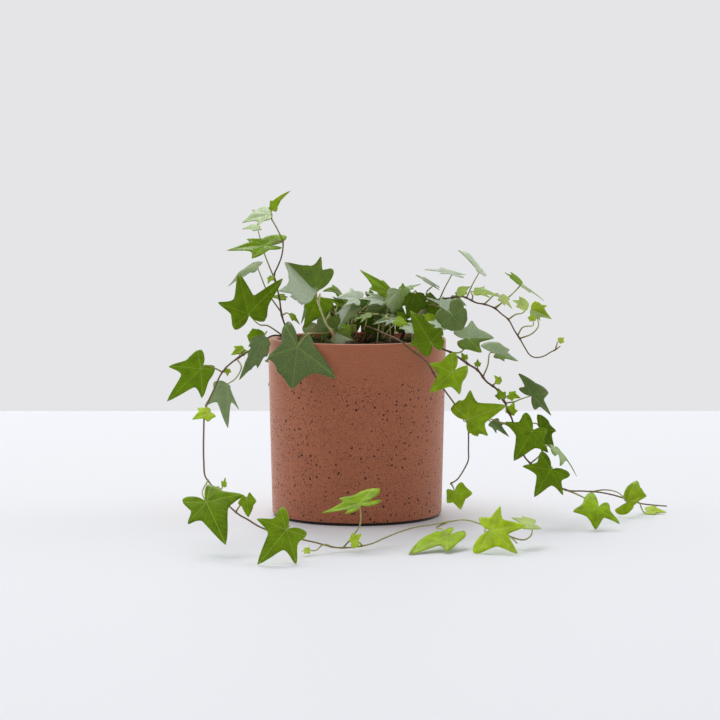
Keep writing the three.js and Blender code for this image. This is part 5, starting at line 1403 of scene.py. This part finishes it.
def vein_pattern(tree):
    """Masks of the main veins, the side veins and the fine net, from the blade's own UV map."""
    flat = add(tree, "UVMap", uv_map="blade").outputs["UV"]
    parts = add(tree, "SeparateXYZ", {0: flat})
    turn = add(tree, "Math", {0: parts.outputs["Y"], 1: parts.outputs["X"]}, operation="ARCTAN2").outputs[0]
    off = add(tree, "Math", {0: turn, 1: VEIN_SPACING / 2}, operation="PINGPONG").outputs[0]
    reach = add(tree, "VectorMath", {0: flat}, operation="LENGTH").outputs["Value"]
    sine = add(tree, "Math", {0: off}, operation="SINE").outputs[0]
    beside = add(tree, "Math", {0: sine, 1: reach}, operation="MULTIPLY").outputs[0]
    slant = add(tree, "Math", {0: beside, 1: SIDE_VEIN_SLANT}, operation="MULTIPLY").outputs[0]
    step = add(tree, "Math", {0: reach, 1: slant}, operation="SUBTRACT").outputs[0]
    branch = add(tree, "Math", {0: step, 1: SIDE_VEIN_GAP}, operation="PINGPONG").outputs[0]
    cells = add(tree, "TexVoronoi", {"Vector": flat, "Scale": NET_CELLS}, feature="DISTANCE_TO_EDGE",
                voronoi_dimensions="2D").outputs["Distance"]
    masks = []
    for distance, (faded, full) in ((beside, MAIN_VEIN), (branch, SIDE_VEIN), (cells, NET_VEIN)):
        mask = add(tree, "MapRange", {"Value": distance, "From Min": faded, "From Max": full})
        masks.append(mask.outputs["Result"])
    return masks


print("a leaf 50 mm long has a side vein every", round(2 * SIDE_VEIN_GAP * 50, 1), "mm")

# %% [markdown]
# ## The upper side of a leaf
# Ivy leaves have a thick waxy skin, so they are smooth but not mirror-like, and the sky or a softbox
# lies on them as a broad silvery sheen. Old leaves are dark, and one that has just unfolded is lime
# green, so each leaf's age picks the colour from a ramp. Its own shade and a slow mottle vary it.
# %% Leaf green
MOTTLE_SIZE = 7 * MM

upper_skin, tree, shader = new_material("waxy upper skin of ivy leaves", roughness=0.34, ior=1.48)
shader.inputs["Specular IOR Level"].default_value = 0.1
age = add(tree, "Attribute", attribute_name="age").outputs["Fac"]
tint = add(tree, "Attribute", attribute_name="tint").outputs["Fac"]
place = add(tree, "TexCoord").outputs["Object"]
mottle = add(tree, "TexNoise", {"Vector": place, "Scale": 1 / MOTTLE_SIZE, "Detail": 4}).outputs["Fac"]
blade = add(tree, "ValToRGB", {"Fac": age}, stops={
    0: "#475E03", 0.25: "#5E7604", 0.5: "#779A05", 0.7: "#98B80C", 0.85: "#B4CF28", 1: "#CFDF58"})
shade = add(tree, "MapRange", {"Value": tint, "To Min": 0.85, "To Max": 1.15}).outputs["Result"]
patchy = add(tree, "MapRange", {
    "Value": mottle, "From Min": 0.3, "From Max": 0.7, "To Min": 0.72, "To Max": 1.24})
level = add(tree, "Math", {0: shade, 1: patchy.outputs["Result"]}, operation="MULTIPLY").outputs[0]
tone = add(tree, "VectorMath", {0: blade.outputs["Color"], "Scale": level}, operation="SCALE").outputs[0]
print(upper_skin.name, "has", len(tree.nodes), "nodes so far")

# %% [markdown]
# ## Veins on the upper side
# The veins are paler than the blade. They are laid over it from the finest to the broadest, and the
# net shows less on young leaves. The broad ones lie sunk in the blade, which a weak bump shows.
# %% Upper veins
SIDE_SHARE = 0.4
MAIN_SHARE = 0.85
OLD_NET, YOUNG_NET = 0.7, 0.12
SUNK = 0.06 * MM

main, side, net = vein_pattern(tree)
pale = add(tree, "ValToRGB", {"Fac": age}, stops={0: "#6E9020", 0.4: "#9DBD3C", 1: "#D2E37A"})
net_share = add(tree, "MapRange", {"Value": age, "To Min": OLD_NET, "To Max": YOUNG_NET}).outputs["Result"]
for mask, strength in ((net, net_share), (side, SIDE_SHARE), (main, MAIN_SHARE)):
    drawn = add(tree, "Math", {0: mask, 1: strength}, operation="MULTIPLY").outputs[0]
    layered = {FACTOR: drawn, FIRST: tone, SECOND: pale.outputs["Color"]}
    tone = add(tree, "Mix", layered, data_type="RGBA").outputs[MIXED]
sunk = add(tree, "Math", {0: main, 1: -1, 2: 1}, operation="MULTIPLY_ADD").outputs[0]
relief = add(tree, "Math", {0: side, 1: -0.4, 2: sunk}, operation="MULTIPLY_ADD").outputs[0]
bump = add(tree, "Bump", {"Height": relief, "Strength": 0.3, "Distance": SUNK})
tree.links.new(bump.outputs["Normal"], shader.inputs["Normal"])
print("veins go in by", SUNK / MM, "mm")

# %% [markdown]
# ## Painted sheen and light in the leaf
# The silvery sheen where level leaves reflect the light from above is painted into their colour. Each
# half of a leaf carries how much of it there is, and a fine noise breaks it up. A little light also
# enters the blade and comes out green beside where it went in, which subsurface scattering gives, on
# both of a leaf's sides.
# %% Painted sheen
PAINTED_SHEEN_TONE = "#D6E2CC"
SHEEN_BREAKUP_SIZE = 2.2 * MM
LIGHT_REACH = 1.2 * MM


def let_light_in(shader):
    """Lets light wander through the blade, green the furthest and blue the least."""
    shader.inputs["Subsurface Weight"].default_value = 0.15
    shader.inputs["Subsurface Radius"].default_value = (0.4, 1.0, 0.15)
    shader.inputs["Subsurface Scale"].default_value = LIGHT_REACH


# The silvery sheen is painted into the base colour, a painted highlight broken up by fine noise.
painted_sheen = add(tree, "Attribute", attribute_name="painted_sheen").outputs["Fac"]
sheen_noise = add(tree, "TexNoise", {"Vector": place, "Scale": 1 / SHEEN_BREAKUP_SIZE, "Detail": 5}).outputs["Fac"]
sheen_breakup = add(tree, "MapRange", {
    "Value": sheen_noise, "From Min": 0.35, "From Max": 0.65, "To Min": 0.85, "To Max": 1.05})
sheen_share = add(tree, "Math", {0: painted_sheen, 1: sheen_breakup.outputs["Result"]}, operation="MULTIPLY").outputs[0]
silvered = add(tree, "Mix", {FACTOR: sheen_share, FIRST: tone, SECOND: linear(PAINTED_SHEEN_TONE)}, data_type="RGBA")
tree.links.new(silvered.outputs[MIXED], shader.inputs["Base Color"])
let_light_in(shader)
print(upper_skin.name, "has", len(tree.nodes), "nodes")

# %% [markdown]
# ## The underside of a leaf
# The lower skin is paler, greyer and matt, because it has no wax and is full of air, and there the
# veins stand out instead of being sunk. It shows where a leaf hangs over, so it is a material of its own
# and not a tint of the upper one.
# %% Underside material
RIB_TONE = "#C9DBA4"
RIB_RELIEF = 0.25 * MM

lower_skin, tree, shader = new_material("matt lower skin of ivy leaves", roughness=0.6, ior=1.42)
shader.inputs["Specular IOR Level"].default_value = 0.35
age = add(tree, "Attribute", attribute_name="age").outputs["Fac"]
main, side, _ = vein_pattern(tree)
under = add(tree, "ValToRGB", {"Fac": age}, stops={0: "#6E8F5C", 0.5: "#8DAE66", 1: "#BBD37E"})
ribs = add(tree, "Math", {0: side, 1: 0.3, 2: main}, operation="MULTIPLY_ADD").outputs[0]
rib_share = add(tree, "Math", {0: ribs, 1: 0.6}, operation="MULTIPLY").outputs[0]
ribbed = add(tree, "Mix", {
    FACTOR: rib_share, FIRST: under.outputs["Color"], SECOND: linear(RIB_TONE)}, data_type="RGBA")
tree.links.new(ribbed.outputs[MIXED], shader.inputs["Base Color"])
bump = add(tree, "Bump", {"Height": ribs, "Strength": 0.6, "Distance": RIB_RELIEF})
tree.links.new(bump.outputs["Normal"], shader.inputs["Normal"])
let_light_in(shader)
print(lower_skin.name, "has", len(tree.nodes), "nodes")

# %% [markdown]
# ## Stem bark
# Young ivy stems change colour along their length: woody brown at the root, then olive and finally pale
# green where they still grow. One colour per stem would miss that, so the age that each ring of the
# tube carries chooses it. Fine noise gives the bark its streaks, and small cells its pores.
# %% Stem material
STREAK_SIZE = 2.5 * MM
STREAK_WANDER = 0.3
PORE_SIZE = 1.1 * MM
PORE_RELIEF = 0.15 * MM

bark, tree, shader = new_material("young ivy bark", roughness=0.55, ior=1.45)
age = add(tree, "Attribute", attribute_name="age").outputs["Fac"]
place = add(tree, "TexCoord").outputs["Object"]
streak = add(tree, "TexNoise", {"Vector": place, "Scale": 1 / STREAK_SIZE, "Detail": 4}).outputs["Fac"]
wander = add(tree, "Math", {0: streak, 1: STREAK_WANDER, 2: -STREAK_WANDER / 2}, operation="MULTIPLY_ADD")
along = add(tree, "Math", {0: age, 1: wander.outputs[0]}, operation="ADD").outputs[0]
stem_tone = add(tree, "ValToRGB", {"Fac": along}, stops={
    0: "#54402E", 0.3: "#694C36", 0.55: "#77603C", 0.7: "#928A4A", 0.85: "#ADA968", 1: "#C2C488"})
tree.links.new(stem_tone.outputs["Color"], shader.inputs["Base Color"])
pores = add(tree, "TexVoronoi", {"Vector": place, "Scale": 1 / PORE_SIZE}).outputs["Distance"]
bump = add(tree, "Bump", {"Height": pores, "Strength": 0.3, "Distance": PORE_RELIEF})
tree.links.new(bump.outputs["Normal"], shader.inputs["Normal"])
print(bark.name, "has", len(tree.nodes), "nodes")

# %% [markdown]
# ## Leaves and stems in place
# Each vine becomes two pieces: its stem with all the leaf stalks, and its blades. The blades are
# single sheets until a Solidify modifier gives them the 0.4 mm of a real leaf, with the lower skin as
# its second material.
# %% Build every vine
LEAF_THICKNESS = 0.4 * MM

for vine in vines:
    bm = bmesh.new()
    bm.verts.layers.float.new("age")
    add_stem(bm, vine)
    for entry in vine["leaves"]:
        add_stalk(bm, entry)
    put(vine["name"] + "_stem", bm, [bark], vine["name"])

    bm = bmesh.new()
    for carried in ("age", "tint", "painted_sheen"):
        bm.verts.layers.float.new(carried)
    for entry in vine["leaves"]:
        add_blade(bm, entry)
    blades = put(vine["name"] + "_blades", bm, [upper_skin, lower_skin], vine["name"])
    thick = blades.modifiers.new("leaf thickness", "SOLIDIFY")
    thick.thickness = LEAF_THICKNESS
    thick.offset = 0
    thick.material_offset = 1

# %% [markdown]
# ## Between the shoots
# Where the shoots leave the soil stand bare pale stalks, whose leaves are hidden, and the stubs of older
# ones. The stalks take the bark of the stems. The stubs are dead and dry, which leaves them matt and
# streaked in red-brown, so they get a finish of their own.
# %% Stub material
STUB_STREAK = 1.5 * MM

dry_stub, tree, shader = new_material("dry red-brown ivy stubs", roughness=0.8, ior=1.4)
place = add(tree, "TexCoord").outputs["Object"]
streak = add(tree, "TexNoise", {"Vector": place, "Scale": 1 / STUB_STREAK, "Detail": 3}).outputs["Fac"]
stub_tone = add(tree, "ValToRGB", {"Fac": streak}, stops={0.3: "#4A1E16", 0.5: "#743628", 0.7: "#9A6248"})
tree.links.new(stub_tone.outputs["Color"], shader.inputs["Base Color"])
print(dry_stub.name, "has", len(tree.nodes), "nodes")

# %% [markdown]
# ## Stalks and stubs
# They are tubes too, each with one radius and one age from end to end, through spots measured like
# those of the vines. They start a little below the soil, so that none floats.
# %% Stalks and stubs
# radius in millimetres, age, and the spots it passes
BARE_STALKS = [
    (0.6, 0.97, [(15.8, 135, 36), (16.5, 142.5, 37), (17.3, 150, 36)]),
    (0.6, 0.95, [(26, 136, 34), (26.2, 143.5, 35), (26, 150, 33)]),
    (0.5, 0.93, [(20.5, 139, 37), (24.4, 145, 38), (29, 149.6, 37)]),
    (0.6, 1, [(43.3, 136, 36), (43.3, 141, 37), (42.9, 146, 37)]),
    (0.6, 0.5, [(-3.9, 136, 38), (-3.6, 144, 38), (-4.2, 152, 34)]),
    (0.6, 0.55, [(-0.7, 136, 40), (-0.5, 143, 40), (-1, 150, 38)]),
    (0.5, 0.95, [(5.5, 145.7, 34), (7, 150.5, 35), (8, 156, 34)]),
]
STUBS = [
    (0.8, 0, [(1, 136, 36), (2.4, 140, 35), (3.4, 144, 33)]),
    (0.7, 0, [(4, 136, 38), (6, 141, 36), (7.4, 145.5, 35)]),
    (0.6, 0, [(8, 137, 37), (10.5, 140.5, 38), (13, 144, 37)]),
    (0.6, 0, [(-1.5, 139, 41), (1.5, 142, 42), (6, 143.5, 43)]),
]


def smooth_way(spots, steps=4):
    """Places along the smooth curve through spots, in a few steps from each to the next."""
    return [curve_point(spots, step / steps) for step in range(steps * (len(spots) - 1) + 1)]


for name, stalks, finish in (("bare_stalks", BARE_STALKS, bark), ("stubs", STUBS, dry_stub)):
    bm = bmesh.new()
    bm.verts.layers.float.new("age")
    for radius, stalk_age, spots in stalks:
        points = smooth_way([seen(spot) for spot in spots])
        add_tube(bm, points, [radius * MM] * len(points), [stalk_age] * len(points), STALK_SIDES)
    put(name, bm, [finish], "soil")

# %% [markdown]
# ## Loose on the soil
# Bark crumbs, moss and fine dead roots lie on the soil. All three are matt, and each crumb, cushion or
# root has its own shade, so they share one recipe: a ramp that reads the age of each corner. A seeded
# draw places them all, in the same order on every run.
# %% Litter materials
LITTER_SEED = 41


def aged_finish(name, roughness, stops):
    """A matt material whose colour follows the age that each corner carries."""
    made, tree, shader = new_material(name, roughness=roughness, ior=1.4)
    age = add(tree, "Attribute", attribute_name="age").outputs["Fac"]
    tone = add(tree, "ValToRGB", {"Fac": age}, stops=stops).outputs["Color"]
    tree.links.new(tone, shader.inputs["Base Color"])
    return made


pine_bark = aged_finish("pine bark crumbs", 0.85, {
    0: "#24150D", 0.6: "#4A2E1B", 0.9: "#7A5232", 1: "#9C7A50"})
moss = aged_finish("moss", 0.9, {0: "#16220A", 0.4: "#2C3D12", 0.75: "#4E5F1C", 1: "#8A8A3C"})
dead_root = aged_finish("dead fine roots", 0.8, {0: "#5E432A", 1: "#B89A6C"})
scatter = draws(LITTER_SEED)


def vary(least, most):
    return least + (most - least) * next(scatter)


def on_soil(radius, turn):
    return Vector((radius * math.cos(turn), radius * math.sin(turn), soil_height(radius)))


print("litter is drawn from seed", LITTER_SEED)

# %% [markdown]
# ## Bark crumbs
# Crumbs are small broken blocks, half sunk in the soil and tilted each its own way. At this size a
# cube of uneven sides reads as one, and hundreds of them have to stay light.
# %% Bark crumbs
CRUMB_COUNT = 420
CRUMB_REACH = 60 * MM
CRUMB_SIDES = ((1.4, 4.5), (1, 2.4), (0.7, 1.6))
CRUMB_TILT = 0.6

crumb_litter = bmesh.new()
age = crumb_litter.verts.layers.float.new("age")
for _ in range(CRUMB_COUNT):
    spot = on_soil(CRUMB_REACH * math.sqrt(next(scatter)), vary(0, math.tau))
    size = Vector([vary(*side) for side in CRUMB_SIDES]) * MM
    turn = Euler((vary(-CRUMB_TILT, CRUMB_TILT), vary(-CRUMB_TILT, CRUMB_TILT), vary(0, math.tau)))
    pose = Matrix.LocRotScale(spot, turn, size)
    tone = next(scatter)
    for vert in bmesh.ops.create_cube(crumb_litter, size=1, matrix=pose)["verts"]:
        vert[age] = tone
put("bark_crumbs", crumb_litter, [pine_bark], "soil")

# %% [markdown]
# ## One moss cushion
# Moss grows in cushions of fine pointed leaves that lean out from the cushion's middle. Hair particles
# could do it, but a ring of slim cones keeps its shape in every file format. One cushion is made here
# and then laid out many times.
# %% Moss cushion
CUSHION_LEAVES = 60
CUSHION_REACH = 5
MOSS_LENGTH = (2.5, 5.5)
MOSS_WIDTH, MOSS_POINT = 0.5 * MM, 0.05 * MM
MOST_LEAN = 0.75

cushion = bmesh.new()
age = cushion.verts.layers.float.new("age")
for _ in range(CUSHION_LEAVES):
    lean, turn, length = vary(0, 1), vary(0, math.tau), vary(*MOSS_LENGTH) * MM
    out = Vector((math.cos(turn), math.sin(turn), 0))
    rise = UP.lerp(out, MOST_LEAN * lean)
    middle = out * CUSHION_REACH * MM * lean + Vector((0, 0, length / 2 - MM))
    pose = Matrix.LocRotScale(middle, rise.to_track_quat("Z", "X"), None)
    cone = bmesh.ops.create_cone(cushion, segments=4, radius1=MOSS_WIDTH, radius2=MOSS_POINT, depth=length,
                                 cap_ends=True, matrix=pose)
    for vert in cone["verts"]:
        vert[age] = 0.25 * lean
one_cushion = bpy.data.meshes.new("moss cushion")
cushion.to_mesh(one_cushion)
cushion.free()
print("a moss cushion has", len(one_cushion.polygons), "faces")

# %% [markdown]
# ## Moss on the soil
# Moss is thickest round the edge, where the soil stays moist, so every second cushion goes there and
# the rest anywhere. Each is a copy of the one cushion, turned, scaled and shaded its own way.
# %% Moss cushions
CUSHIONS = 70
EDGE_BAND, OPEN_BAND = (44, 58), (6, 52)
CUSHION_SIZES = (0.6, 1.3)

moss_litter = bmesh.new()
for i in range(CUSHIONS):
    middle = on_soil(vary(*(EDGE_BAND if i % 2 else OPEN_BAND)) * MM, vary(0, math.tau))
    turn = Euler((0, 0, vary(0, math.tau)))
    pose = Matrix.LocRotScale(middle, turn, Vector.Fill(3, vary(*CUSHION_SIZES)))
    tone = next(scatter)
    before = len(moss_litter.verts)
    moss_litter.from_mesh(one_cushion)
    moss_litter.verts.ensure_lookup_table()
    age = moss_litter.verts.layers.float["age"]
    for vert in moss_litter.verts[before:]:
        vert.co = pose @ vert.co
        vert[age] += 0.75 * tone
put("moss_cushions", moss_litter, [moss], "soil")

# %% [markdown]
# ## Fine roots
# Fine dead roots lie over soil and moss, in short loose bows. They are thin tubes of four sides, each
# through three places near the ground.
# %% Fine roots
ROOT_COUNT = 70
ROOT_BAND = (8, 54)
ROOT_STEPS = (0, 3, 6)
ROOT_BOW = 0.5
ROOT_LIFT = (0.6, 2.6)
ROOT_RADIUS = 0.22 * MM

root_litter = bmesh.new()
root_litter.verts.layers.float.new("age")
for _ in range(ROOT_COUNT):
    radius, turn, curl = vary(*ROOT_BAND) * MM, vary(0, math.tau), vary(-ROOT_BOW, ROOT_BOW)
    way = [on_soil(radius + step * MM, turn + curl * step / 8) for step in ROOT_STEPS]
    way = [spot + Vector((0, 0, vary(*ROOT_LIFT) * MM)) for spot in way]
    points = smooth_way(way)
    add_tube(root_litter, points, [ROOT_RADIUS] * len(points), [next(scatter)] * len(points), 4)
put("fine_roots", root_litter, [dead_root], "soil")

# %% [markdown]
# ## Check the size
# Blender doesn't change the plant's size, so the box of everything built here is printed next to the
# box of the measured solids.
# %% Sizes
new_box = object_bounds()
for name, low_high in (("solids", cad_box), ("finished", new_box)):
    print(name, "box:", [[round(value, 4) for value in corner] for corner in low_high])
